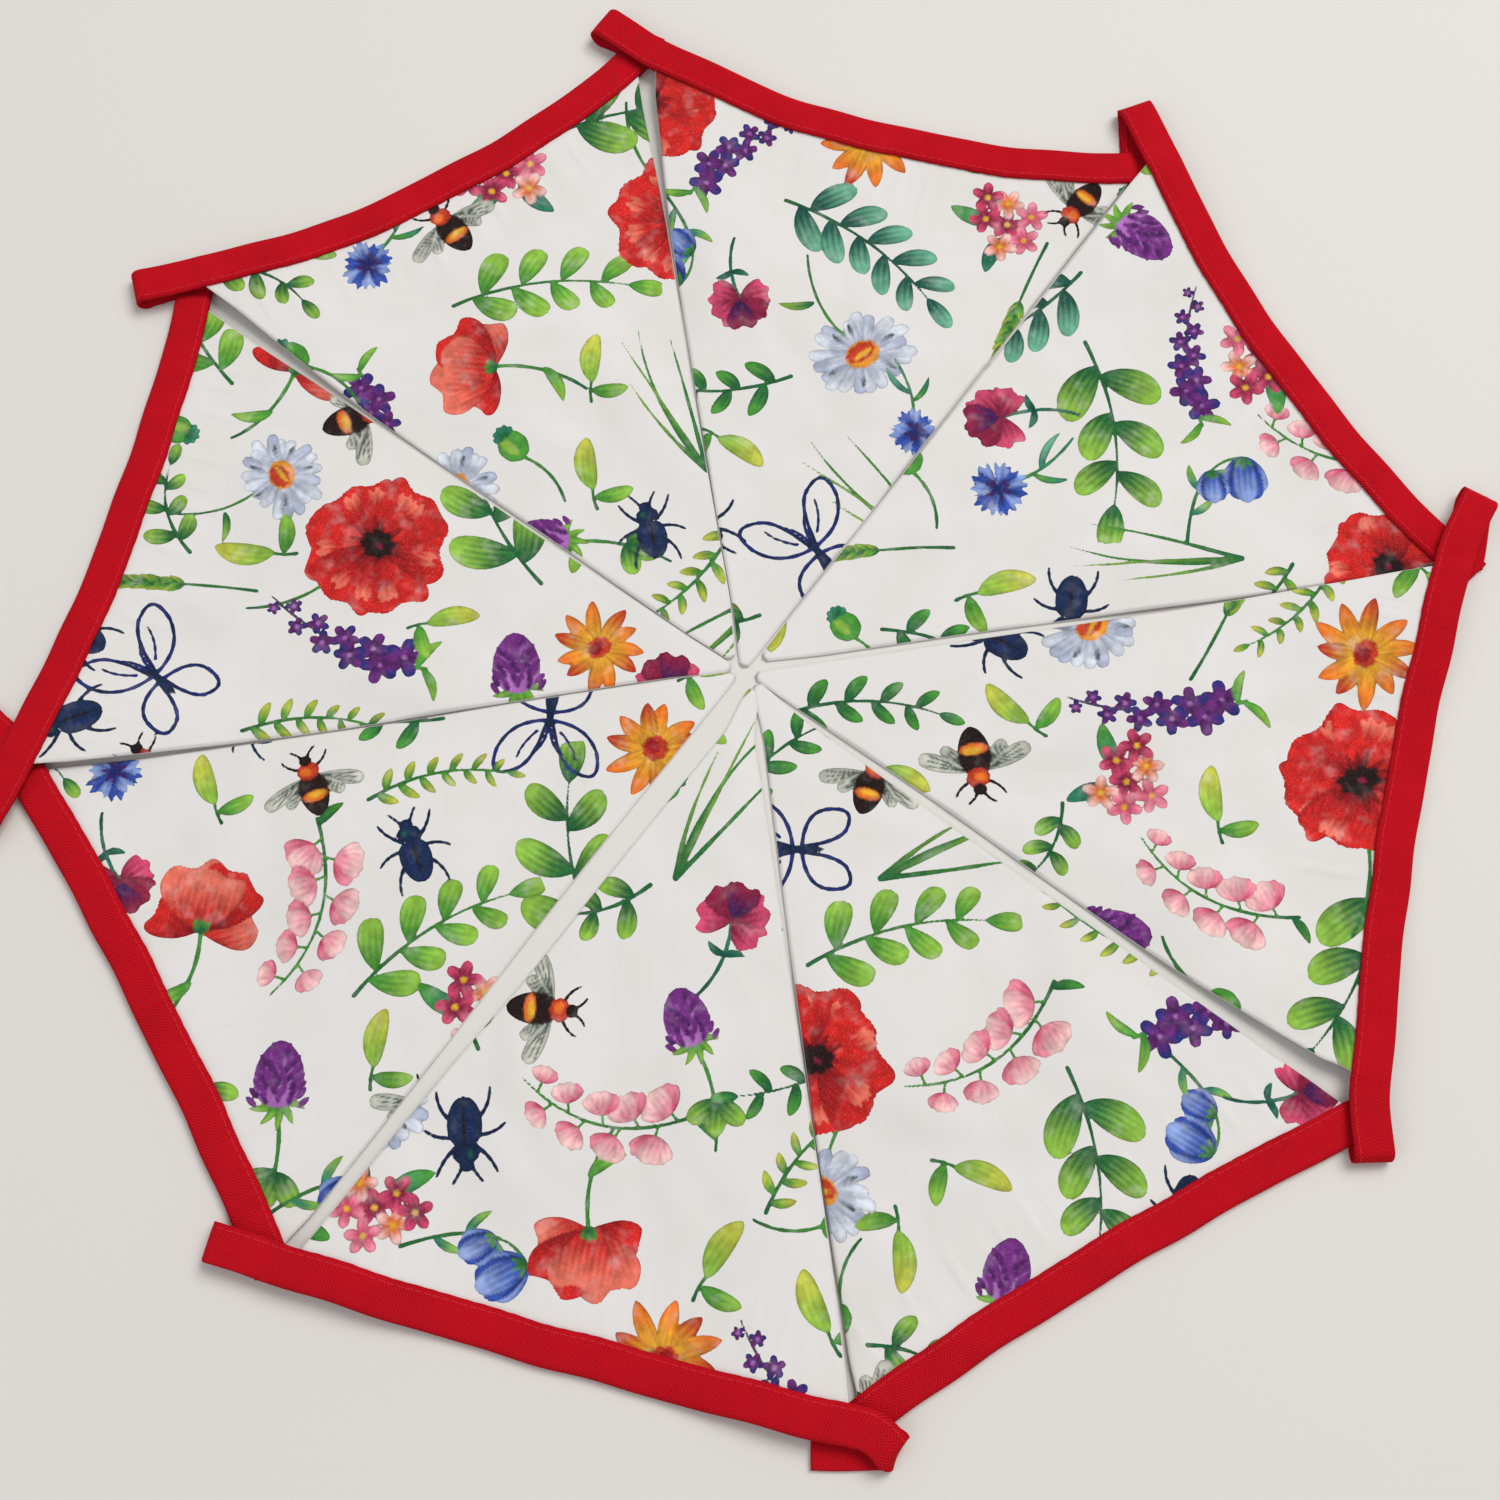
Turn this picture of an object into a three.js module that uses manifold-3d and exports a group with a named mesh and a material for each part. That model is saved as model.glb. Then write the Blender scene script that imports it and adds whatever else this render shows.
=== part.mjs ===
// Fabric bunting: eight printed cotton flags on one long red tape, laid out as a wheel.
// The flags' points meet in the middle. The tape is folded in half over the top of each flag,
// and between two flags its free length lies outward as a flattened loop. Its two ends are free.
// Millimetres, +Z up. The table is z = 0, and the wheel's middle is the origin before centring.

import * as THREE from 'three';
import { mergeVertices } from 'three/addons/utils/BufferGeometryUtils.js';
import Module from 'manifold-3d';

const wasm = await Module();
wasm.setup();

// A flag, in its own plane: x runs clockwise along the top, y runs from the tip to the top.
const FLAG_DEPTH = 212;
const FLAG_HALF_WIDTH = 88;
const FLAG_TIP_BACK = 3.2;
const FLAG_TIP_RADIUS = 2;
const FLAG_HEM_IN_TAPE = 11.2;
const CLOTH = 1;

// The tape: 25 mm wide, folded in half over the cloth.
const TAPE_WIDTH = 12.5;
const TAPE_WALL = 1;
const TAPE_CLEARANCE = 0.3;
const TAPE_BEVEL = 0.6;
const TAPE_OVER_CLOTH = CLOTH + 2 * (TAPE_WALL + TAPE_CLEARANCE);
const TAPE_FREE = 2 * TAPE_WALL;
const TAPE_HOLD = 1.2;
const TAPE_TAPER = 4.2;
const SLOT_OPENING = 2;

// Where one tape end lies over another, it stands this much higher, and eases down to the table.
const LAYER_GAP = 0.4;
const OVER_RISE = TAPE_OVER_CLOTH + LAYER_GAP;
const RISE_HOLD = 16;
const RISE_EASE = 60;

// Rows of points across a flag, as distances from its tip, one point more in each row.
const FLAG_ROWS = [0, 1, 3, 9, 20, 36, 54, 72, 90, 108, 126, 144, 162, 178, 190, 201];
const TAPE_STEPS = 12;
const BOW_POWER = 2.5;

// Distances from the tip at which the cloth starts to bow, to rise with the tape's ends and into
// the tape, and where its swells start to fade. The rise is done, and the swells gone, at RISE_DONE.
const BOW_START = 40;
const RISE_START = 120;
const SWELL_FADE = 180;
const HEM_START = 184;
const RISE_DONE = 205;

const TINY = 1e-6;
const WELD_DISTANCE = 1e-4;

const COTTON_COLOUR = 0xf0ece6;
const TAPE_COLOUR = 0xba1120;

// first and last are the flag's anticlockwise and clockwise top corners.
// bow is how far the middle of the top edge lies nearer the tip than its corners.
const FLAGS = [
  { name: 'flag_a', tipX: -3.5, tipY: 0.5, heading: 75, bow: 10.5, first: 'over', last: 'under' },
  { name: 'flag_b', tipX: 4, tipY: 4.5, heading: 30.5, bow: 7.5, first: 'over', last: 'under' },
  { name: 'flag_c', tipX: 3, tipY: 0, heading: -13.75, bow: 3, first: 'over', last: 'over' },
  { name: 'flag_d', tipX: 4, tipY: -5, heading: -60.25, bow: 3.5, first: 'under', last: 'under' },
  { name: 'flag_e', tipX: 1, tipY: -7, heading: -105.25, bow: -1.5, first: 'over', last: 'over' },
  { name: 'flag_f', tipX: -2.5, tipY: -5.5, heading: -150, bow: 2.5, first: 'under', last: 'under' },
  { name: 'flag_g', tipX: -6, tipY: -2.5, heading: 165.5, bow: 4.5, first: 'over', last: 'under' },
  { name: 'flag_h', tipX: -7, tipY: 2, heading: 120.5, bow: 10.5, first: 'over', last: 'under' },
];

// Soft swells of the cloth off the table, in the flag's own x and y, with their half sizes.
const SWELLS = [
  { flag: 'flag_a', x: -30, y: 150, across: 34, along: 46, height: 2.2 },
  { flag: 'flag_a', x: 26, y: 118, across: 30, along: 60, height: 1.6 },
  { flag: 'flag_b', x: 34, y: 140, across: 34, along: 52, height: 2.4 },
  { flag: 'flag_b', x: -18, y: 92, across: 24, along: 44, height: 1.4 },
  { flag: 'flag_c', x: -22, y: 138, across: 40, along: 50, height: 2 },
  { flag: 'flag_c', x: 40, y: 156, across: 30, along: 38, height: 2.2 },
  { flag: 'flag_d', x: 22, y: 128, across: 36, along: 56, height: 2.4 },
  { flag: 'flag_d', x: -36, y: 152, across: 28, along: 40, height: 1.8 },
  { flag: 'flag_e', x: -30, y: 136, across: 34, along: 54, height: 2 },
  { flag: 'flag_e', x: 36, y: 150, across: 34, along: 44, height: 2.4 },
  { flag: 'flag_f', x: 4, y: 132, across: 44, along: 58, height: 2.6 },
  { flag: 'flag_g', x: 28, y: 144, across: 36, along: 48, height: 2.2 },
  { flag: 'flag_g', x: -26, y: 110, across: 28, along: 50, height: 1.6 },
  { flag: 'flag_h', x: -8, y: 146, across: 46, along: 46, height: 2.2 },
  { flag: 'flag_h', x: 22, y: 84, across: 18, along: 44, height: 1.2 },
];

// The flattened loops between a flag and the next one clockwise. Which flag's tape lies on top
// is in FLAGS. reach is the loop's length past that flag's corner, turn bends it outward in
// degrees, lift is the height of its top layer's middle at the far end, back is the length of
// its bottom layer, fan swings that layer outward in degrees from the line back to the corner,
// and run is how far the other flag's tape goes on beneath it.
const LOOPS = [
  { after: 'flag_a', reach: 24, turn: -9, lift: 6, back: 17, fan: -20, run: 10 },
  { after: 'flag_b', reach: 29, turn: 16, lift: 6.2, back: 22, fan: 10, run: 12 },
  { after: 'flag_c', reach: 26, turn: 13, lift: 6, back: 14, fan: -3, run: 8 },
  { after: 'flag_d', reach: 17.5, turn: 40, lift: 6, back: 23, fan: 27, run: 11 },
  { after: 'flag_e', reach: 24, turn: 3, lift: 6, back: 17, fan: 0, run: 6 },
  { after: 'flag_g', reach: 24, turn: 2, lift: 6.2, back: 17, fan: 6, run: 10 },
  { after: 'flag_h', reach: 28, turn: 7, lift: 6.2, back: 20, fan: 8, run: 10 },
];
const LEG_STEP = 5;
const LOOP_STEPS = 6;

// A loop's bottom layer is a little thinner than the tape that it lies in, to join it cleanly.
const RETURN_THICKNESS = TAPE_FREE - 0.2;

// The tape's two free ends, one over the other between the last flag and the first.
const TAILS = [
  { flag: 'flag_g', end: 'first', length: 62, turn: 20 },
  { flag: 'flag_f', end: 'last', length: 62, turn: 42 },
];
const TAIL_LANDING = 44;

const UP = new THREE.Vector3(0, 0, 1);

function ease(value, from, to) {
  return THREE.MathUtils.smoothstep(value, from, to);
}

// How far the tape and the cloth's top stand off the table, at x along the flag's top edge.
function tapeLift(flag, x) {
  const fromFirst = FLAG_HALF_WIDTH + x;
  const fromLast = FLAG_HALF_WIDTH - x;
  const first = flag.first === 'over' ? 1 - ease(fromFirst, RISE_HOLD, RISE_EASE) : 0;
  const last = flag.last === 'over' ? 1 - ease(fromLast, RISE_HOLD, RISE_EASE) : 0;
  return OVER_RISE * Math.max(first, last);
}

// How far the flag's swells raise the cloth, each a round bump with a flat foot.
function swell(flag, x, y) {
  let height = 0;
  for (const bump of SWELLS) {
    if (bump.flag !== flag.name) continue;
    const r2 = ((x - bump.x) / bump.across) ** 2 + ((y - bump.y) / bump.along) ** 2;
    if (r2 < 1) height += bump.height * (1 - r2) ** 2;
  }
  return height;
}

// The underside of the cloth above the table.
function clothHeight(flag, x, y) {
  const insideTape = (TAPE_WALL + TAPE_CLEARANCE) * ease(y, HEM_START, FLAG_DEPTH);
  const lifted = tapeLift(flag, x) * ease(y, RISE_START, RISE_DONE);
  return insideTape + lifted + swell(flag, x, y) * (1 - ease(y, SWELL_FADE, RISE_DONE));
}

// How far the cloth is pushed toward the tip: not at its sides, and most in the middle of the top.
function bowAt(flag, x, y) {
  const side = Math.max(halfWidth(y), TINY);
  return flag.bow * (1 - Math.abs(x / side) ** BOW_POWER) * ease(y, BOW_START, FLAG_DEPTH);
}

// The direction square to the bowed top edge at x, away from the tip.
function edgeNormal(flag, x) {
  const share = Math.abs(x / FLAG_HALF_WIDTH) ** (BOW_POWER - 1);
  const slope = BOW_POWER * flag.bow * Math.sign(x) * share / FLAG_HALF_WIDTH;
  return new THREE.Vector2(-slope, 1).normalize();
}

// A point of the flag's plane, in the wheel. Past the top edge, y runs square to that edge.
function place(flag, x, y, z) {
  const heading = THREE.MathUtils.degToRad(flag.heading);
  const outward = new THREE.Vector2(Math.cos(heading), Math.sin(heading));
  const clockwise = new THREE.Vector2(outward.y, -outward.x);
  const past = Math.max(0, y - FLAG_DEPTH);
  const normal = edgeNormal(flag, x);
  const localY = Math.min(y, FLAG_DEPTH) - bowAt(flag, x, y) + past * normal.y;
  const localX = x + past * normal.x;
  return new THREE.Vector3(
    flag.tipX + outward.x * localY + clockwise.x * localX,
    flag.tipY + outward.y * localY + clockwise.y * localX,
    z,
  );
}

// Half the cloth's width at y: a small round tip, straight sides, and square ends in the tape.
function halfWidth(y) {
  const slope = FLAG_HALF_WIDTH / (FLAG_DEPTH + FLAG_TIP_BACK);
  if (y > FLAG_DEPTH) return FLAG_HALF_WIDTH;
  if (y < FLAG_TIP_RADIUS) return Math.sqrt(Math.max(0, y * (2 * FLAG_TIP_RADIUS - y)));
  return (y + FLAG_TIP_BACK) * slope;
}

// A closed solid from a top and a bottom layer of points in rows of 1, 2, 3 and so on.
function sheetGeometry(rows, thickness) {
  const positions = [];
  const start = [];
  for (const row of rows) {
    start.push(positions.length / 3);
    for (const point of row) positions.push(point.x, point.y, point.z);
  }
  const count = positions.length / 3;
  for (let i = 0; i < count; i += 1) {
    positions.push(positions[3 * i], positions[3 * i + 1], positions[3 * i + 2] + thickness);
  }
  const faces = [];
  const bothLayers = (a, b, c) => faces.push(count + a, count + b, count + c, a, c, b);
  for (let i = 0; i + 1 < rows.length; i += 1) {
    for (let j = 0; j <= i; j += 1) {
      bothLayers(start[i] + j, start[i + 1] + j + 1, start[i + 1] + j);
      if (j < i) bothLayers(start[i] + j, start[i] + j + 1, start[i + 1] + j + 1);
    }
  }
  const last = rows.length - 1;
  const rim = [];
  for (let i = 0; i <= last; i += 1) rim.push(start[i] + i);
  for (let j = last - 1; j >= 0; j -= 1) rim.push(start[last] + j);
  for (let i = last - 1; i > 0; i -= 1) rim.push(start[i]);
  for (let k = 0; k < rim.length; k += 1) {
    const a = rim[k];
    const b = rim[(k + 1) % rim.length];
    faces.push(a, b, count + b, a, count + b, count + a);
  }
  const geometry = new THREE.BufferGeometry();
  geometry.setAttribute('position', new THREE.Float32BufferAttribute(positions, 3));
  geometry.setIndex(faces);
  return geometry;
}

function flagGeometry(flag) {
  const distances = [...FLAG_ROWS, FLAG_DEPTH, FLAG_DEPTH + FLAG_HEM_IN_TAPE];
  const rows = distances.map((y, i) => {
    const row = [];
    for (let j = 0; j <= i; j += 1) {
      const x = i === 0 ? 0 : halfWidth(y) * (2 * j / i - 1);
      row.push(place(flag, x, y, clothHeight(flag, x, y)));
    }
    return row;
  });
  return sheetGeometry(rows, CLOTH);
}

// A solid swept through rows. Each row has a centre, two unit directions and its section's points.
function sweptGeometry(rows) {
  const sides = rows[0].section.length;
  const positions = [];
  for (const row of rows) {
    for (const [across, up] of row.section) {
      const point = row.centre.clone();
      point.addScaledVector(row.across, across);
      point.addScaledVector(row.up, up);
      positions.push(point.x, point.y, point.z);
    }
  }
  const faces = [];
  for (let k = 0; k + 1 < rows.length; k += 1) {
    for (let s = 0; s < sides; s += 1) {
      const a = k * sides + s;
      const b = k * sides + (s + 1) % sides;
      faces.push(a, b, b + sides, a, b + sides, a + sides);
    }
  }
  const end = (rows.length - 1) * sides;
  for (let s = 1; s + 1 < sides; s += 1) {
    faces.push(0, s + 1, s);
    faces.push(end, end + s, end + s + 1);
  }
  const geometry = new THREE.BufferGeometry();
  geometry.setAttribute('position', new THREE.Float32BufferAttribute(positions, 3));
  geometry.setIndex(faces);
  return geometry;
}

// The folded tape's section, counter-clockwise seen from ahead: its long edges slightly pointed.
function tapeSection(width, thickness) {
  const w = width / 2;
  const t = thickness / 2;
  const flat = w - TAPE_BEVEL;
  return [[w, 0], [flat, t], [-flat, t], [-w, 0], [-flat, -t], [flat, -t]];
}

// One row of a swept tape. left is the level direction across it, and up is square to its face.
function tapeRow(centre, left, up, width, thickness) {
  return { centre, across: left, up, section: tapeSection(width, thickness) };
}

function leftOf(direction) {
  return new THREE.Vector3(-direction.y, direction.x, 0);
}

// The middle of the tape at x on a flag, with its clockwise direction.
function tapeMiddle(flag, x) {
  const centre = place(flag, x, FLAG_DEPTH + TAPE_WIDTH / 2, tapeLift(flag, x) + TAPE_OVER_CLOTH / 2);
  const inner = place(flag, x, FLAG_DEPTH, centre.z);
  const out = centre.clone().sub(inner).normalize();
  return { centre, direction: new THREE.Vector2(out.y, -out.x) };
}

// The tape over one flag's top, walking clockwise.
function tapeOverFlag(flag) {
  const rows = [];
  for (let i = 0; i <= TAPE_STEPS; i += 1) {
    const { centre, direction } = tapeMiddle(flag, FLAG_HALF_WIDTH * (2 * i / TAPE_STEPS - 1));
    rows.push(tapeRow(centre, leftOf(direction), UP, TAPE_WIDTH, TAPE_OVER_CLOTH));
  }
  return rows;
}

// A free length of tape that leaves a flag's corner and bends outward at an even rate. It thins
// at once from cloth and tape to tape alone. Steps are listed from the corner outward.
function freeLeg(flag, end, length, turn, heightAt) {
  const { centre, direction } = tapeMiddle(flag, end === 'first' ? -FLAG_HALF_WIDTH : FLAG_HALF_WIDTH);
  if (end === 'first') direction.negate();
  const bend = THREE.MathUtils.degToRad(end === 'first' ? -turn : turn);
  const steps = Math.max(1, Math.round((length - TAPE_TAPER) / LEG_STEP));
  const step = (length - TAPE_TAPER) / steps;
  const ahead = (from, heading, distance, z) => {
    return new THREE.Vector3(from.x + heading.x * distance, from.y + heading.y * distance, z);
  };
  const leg = [{
    point: ahead(centre, direction, TAPE_HOLD, centre.z), direction, up: UP, thickness: TAPE_OVER_CLOTH,
  }];
  let point = ahead(centre, direction, TAPE_TAPER, heightAt(TAPE_TAPER));
  leg.push({ point, direction, up: UP, thickness: TAPE_FREE });
  for (let i = 1; i <= steps; i += 1) {
    const middle = direction.clone().rotateAround(new THREE.Vector2(), bend * (i - 0.5) / steps);
    const heading = direction.clone().rotateAround(new THREE.Vector2(), bend * i / steps);
    point = ahead(point, middle, step, heightAt(TAPE_TAPER + i * step));
    leg.push({ point, direction: heading, up: UP, thickness: TAPE_FREE });
  }
  return leg;
}

// The flattened loop on the over side of a corner: a top layer out to its far end, half a turn
// down that swings round on its way, and a straight bottom layer back along the table.
function loopLeg(flag, end, loop) {
  const radius = (loop.lift - TAPE_FREE / 2) / 2;
  const length = loop.reach - radius;
  const start = OVER_RISE + TAPE_OVER_CLOTH / 2;
  const heightAt = (distance) => THREE.MathUtils.lerp(start, loop.lift, ease(distance, TAPE_TAPER, length));
  const leg = freeLeg(flag, end, length, loop.turn, heightAt);
  const tip = leg[leg.length - 1];
  const { centre } = tapeMiddle(flag, end === 'first' ? -FLAG_HALF_WIDTH : FLAG_HALF_WIDTH);
  const fan = THREE.MathUtils.degToRad(end === 'first' ? loop.fan : -loop.fan);
  const away = new THREE.Vector2(tip.point.x - centre.x, tip.point.y - centre.y).normalize();
  const low = away.clone().rotateAround(new THREE.Vector2(), fan);
  const swing = Math.atan2(tip.direction.cross(low), tip.direction.dot(low));
  for (let i = 1; i <= LOOP_STEPS; i += 1) {
    const angle = Math.PI * i / LOOP_STEPS;
    const swung = swing * ease(angle, 0, Math.PI);
    const direction = tip.direction.clone().rotateAround(new THREE.Vector2(), swung);
    const out = new THREE.Vector3(direction.x, direction.y, 0);
    const point = tip.point.clone().addScaledVector(out, radius * Math.sin(angle));
    point.z = loop.lift - radius * (1 - Math.cos(angle));
    const up = out.clone().multiplyScalar(Math.sin(angle)).addScaledVector(UP, Math.cos(angle));
    leg.push({ point, direction, up, thickness: TAPE_FREE });
  }
  const steps = Math.round(loop.back / LEG_STEP);
  for (let i = 1; i <= steps; i += 1) {
    const down = UP.clone().negate();
    const point = tip.point.clone();
    point.x -= low.x * loop.back * i / steps;
    point.y -= low.y * loop.back * i / steps;
    point.z = TAPE_FREE / 2;
    leg.push({ point, direction: low, up: down, thickness: RETURN_THICKNESS });
  }
  return leg;
}

// The free tape at a flag's corner: a loop where it lies over its neighbour, a short run under
// the neighbour's loop where it doesn't, or a tail at the string's two ends.
function endLeg(flag, end) {
  const tail = TAILS.find((each) => each.flag === flag.name && each.end === end);
  const low = TAPE_FREE / 2;
  if (tail) {
    const high = flag[end] === 'over' ? OVER_RISE + TAPE_OVER_CLOTH / 2 : low;
    const heightAt = (distance) => THREE.MathUtils.lerp(high, low, ease(distance, RISE_HOLD, TAIL_LANDING));
    return freeLeg(flag, end, tail.length, tail.turn, heightAt);
  }
  const index = FLAGS.indexOf(flag);
  const before = end === 'first' ? (index + FLAGS.length - 1) % FLAGS.length : index;
  const loop = LOOPS.find((each) => each.after === FLAGS[before].name);
  return flag[end] === 'over' ? loopLeg(flag, end, loop) : freeLeg(flag, end, loop.run, 0, () => low);
}

// The tape of one flag with its free ends, as one sweep walked clockwise.
function flagTapeRows(flag) {
  const rowsOf = (end) => {
    const side = end === 'first' ? -1 : 1;
    return endLeg(flag, end).map((step) => {
      const left = leftOf(step.direction).multiplyScalar(side);
      return tapeRow(step.point, left, step.up, TAPE_WIDTH, step.thickness);
    });
  };
  return [...rowsOf('first').reverse(), ...tapeOverFlag(flag), ...rowsOf('last')];
}

// The room that a flag's top takes inside the folded tape, open toward the flag.
function slotGeometry(flag) {
  const depth = SLOT_OPENING + FLAG_HEM_IN_TAPE + TAPE_CLEARANCE;
  const w = depth / 2;
  const half = CLOTH / 2 + TAPE_CLEARANCE;
  const rows = [];
  for (let i = 0; i <= TAPE_STEPS; i += 1) {
    const { centre, direction } = tapeMiddle(flag, FLAG_HALF_WIDTH * (2 * i / TAPE_STEPS - 1));
    const left = leftOf(direction);
    const ahead = new THREE.Vector3(direction.x, direction.y, 0);
    centre.addScaledVector(left, w - SLOT_OPENING - TAPE_WIDTH / 2);
    if (i === 0) centre.addScaledVector(ahead, -TAPE_CLEARANCE);
    if (i === TAPE_STEPS) centre.addScaledVector(ahead, TAPE_CLEARANCE);
    rows.push({ centre, across: left, up: UP, section: [[w, half], [-w, half], [-w, -half], [w, -half]] });
  }
  return sweptGeometry(rows);
}

function toSolid(geometry) {
  const merged = mergeVertices(geometry, WELD_DISTANCE);
  return new wasm.Manifold(new wasm.Mesh({
    numProp: 3,
    vertProperties: new Float32Array(merged.attributes.position.array),
    triVerts: new Uint32Array(merged.index.array),
  }));
}

function toGeometry(solid) {
  const mesh = solid.getMesh();
  const geometry = new THREE.BufferGeometry();
  geometry.setAttribute('position', new THREE.BufferAttribute(mesh.vertProperties, 3));
  geometry.setIndex(new THREE.BufferAttribute(mesh.triVerts, 1));
  return geometry;
}

// The whole tape: each flag's length, joined where one runs into the next one's loop.
function tapeGeometry() {
  const lengths = FLAGS.map((flag) => toSolid(sweptGeometry(flagTapeRows(flag))));
  let tape = lengths.reduce((joined, length) => joined.add(length));
  for (const flag of FLAGS) tape = tape.subtract(toSolid(slotGeometry(flag)));
  return toGeometry(tape);
}

function pieceMesh(name, geometry, colour) {
  const material = new THREE.MeshStandardMaterial({ color: colour, roughness: 0.9, metalness: 0 });
  const mesh = new THREE.Mesh(geometry, material);
  mesh.name = name;
  return mesh;
}

const bunting = new THREE.Group();
for (const flag of FLAGS) bunting.add(pieceMesh(flag.name, flagGeometry(flag), COTTON_COLOUR));
bunting.add(pieceMesh('binding_tape', tapeGeometry(), TAPE_COLOUR));

// The origin is the middle of the whole piece's outline on the table.
const box = new THREE.Box3().setFromObject(bunting);
const middle = box.getCenter(new THREE.Vector3());
bunting.position.set(-middle.x, -middle.y, -box.min.z);

export default bunting;
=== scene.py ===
"""Fabric bunting: eight printed cotton flags on one red tape, laid out on a table as a wheel.

Shapes are worked out in millimetres, and a mesh is made from them in metres. The flags and the
tape lie on the frame's own solids: both follow the same formulas, here on finer grids.
"""

from __future__ import annotations

import logging
import math
from dataclasses import dataclass, field
from enum import Enum
from functools import reduce
from typing import Callable

import bpy
import numpy as np
from numpy.typing import NDArray
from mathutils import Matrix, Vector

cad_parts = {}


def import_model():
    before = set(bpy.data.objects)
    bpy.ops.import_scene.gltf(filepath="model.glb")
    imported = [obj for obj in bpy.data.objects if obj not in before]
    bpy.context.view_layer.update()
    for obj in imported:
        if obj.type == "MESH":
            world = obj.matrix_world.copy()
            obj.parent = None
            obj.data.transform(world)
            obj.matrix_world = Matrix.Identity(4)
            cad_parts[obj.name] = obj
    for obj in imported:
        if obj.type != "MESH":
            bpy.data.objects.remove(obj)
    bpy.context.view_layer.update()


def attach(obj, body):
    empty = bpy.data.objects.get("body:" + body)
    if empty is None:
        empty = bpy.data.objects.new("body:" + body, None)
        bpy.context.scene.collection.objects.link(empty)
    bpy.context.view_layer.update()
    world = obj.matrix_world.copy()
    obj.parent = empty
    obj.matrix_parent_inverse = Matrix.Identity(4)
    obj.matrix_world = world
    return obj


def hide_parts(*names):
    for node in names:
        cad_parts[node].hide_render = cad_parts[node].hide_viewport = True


Array = NDArray[np.float64]
Numbers = NDArray[np.int64]
Pair = tuple[float, float]
Waves = tuple[float, ...]
Colour = tuple[float, float, float]
Socket = bpy.types.NodeSocket

log = logging.getLogger("bunting")

MM = 0.001
TINY = 1e-6

# The wheel's middle, where the flags' tips meet, in the frame.
WHEEL_MIDDLE = np.array([15.842, -0.141, 0.0])
UPRIGHT = np.array([0.0, 0.0, 1.0])


def smoothstep(value: Array, low: float, high: float) -> Array:
    """Return 0 below low, 1 above high, and a smooth cubic between them."""
    share = np.clip((value - low) / (high - low), 0.0, 1.0)
    return share * share * (3.0 - 2.0 * share)


def linear(hex_colour: int) -> Colour:
    """Return a colour written as red, green and blue bytes as linear light.

    Args:
        hex_colour: The colour's three bytes as one number.

    Returns:
        Its red, green and blue.
    """
    parts = [((hex_colour >> shift) & 255) / 255.0 for shift in (16, 8, 0)]
    light = [c / 12.92 if c <= 0.04045 else ((c + 0.055) / 1.055) ** 2.4 for c in parts]
    return light[0], light[1], light[2]


def solid(hex_colour: int) -> tuple[float, float, float, float]:
    """Return a colour written as bytes as linear light that hides all behind it."""
    return (*linear(hex_colour), 1.0)


def unit(angle: Array) -> Array:
    """Return the level unit vectors at these angles, as rows of x, y and z."""
    return np.stack([np.cos(angle), np.sin(angle), np.zeros_like(angle)], axis=-1)


def left_of(direction: Array) -> Array:
    """Return the level vectors a quarter turn anticlockwise of these."""
    return np.stack([-direction[:, 1], direction[:, 0], np.zeros(len(direction))], axis=1)


def turned(vectors: Array, angle: Array) -> Array:
    """Return level vectors turned anticlockwise about the upright axis, each by its angle."""
    return vectors * np.cos(angle)[:, None] + left_of(vectors) * np.sin(angle)[:, None]


def ripple(along: Array, waves: Waves, seed: float) -> Array:
    """Return an uneven line: a sum of sines of these wavelengths, each with its own phase."""
    turns = enumerate(2.0 * np.pi * along / wave for wave in waves)
    return sum(np.sin(turn + seed * (k + 1.7)) / (k + 1.0) for k, turn in turns)


def smooth_through(value: Array, first: float, last: float, levels: tuple[float, ...]) -> Array:
    """Return a smooth line through levels at even places: a cubic between each two, level outside.

    Args:
        value: Where the line is wanted.
        first: The place of the first level.
        last: The place of the last level.
        levels: The levels, each with the slope of the line through its neighbours.

    Returns:
        The line's height at each value.
    """
    heights = np.array(levels)
    slopes = np.gradient(heights)
    place = np.clip((value - first) / (last - first), 0.0, 1.0) * (len(levels) - 1)
    piece = np.minimum(place.astype(int), len(levels) - 2)
    t = place - piece
    rise = heights[piece + 1] - heights[piece]
    start = slopes[piece] * t * (1.0 - t) ** 2
    end = slopes[piece + 1] * t * t * (t - 1.0)
    return heights[piece] + rise * t * t * (3.0 - 2.0 * t) + start + end


def mesh_object(name: str, points: Array, faces: list[Numbers]) -> bpy.types.Object:
    """Make a smooth mesh object.

    Args:
        name: The object's name.
        points: The vertices in the wheel's own millimetres, one a row.
        faces: Arrays of vertex numbers, one face a row; the arrays may differ in width.

    Returns:
        The object, at the origin, with its place in its mesh.
    """
    mesh = bpy.data.meshes.new(name)
    mesh.vertices.add(len(points))
    mesh.vertices.foreach_set("co", ((points + WHEEL_MIDDLE) * MM).ravel())
    corners = np.concatenate([each.ravel() for each in faces]).astype(np.int32)
    sizes = np.concatenate([np.full(len(each), each.shape[1]) for each in faces])
    starts = np.concatenate([[0], np.cumsum(sizes)[:-1]]).astype(np.int32)
    mesh.loops.add(len(corners))
    mesh.loops.foreach_set("vertex_index", corners)
    mesh.polygons.add(len(starts))
    mesh.polygons.foreach_set("loop_start", starts)
    mesh.polygons.foreach_set("use_smooth", np.ones(len(starts), dtype=bool))
    mesh.update(calc_edges=True)
    made = bpy.data.objects.new(name, mesh)
    bpy.context.scene.collection.objects.link(made)
    return made


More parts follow.
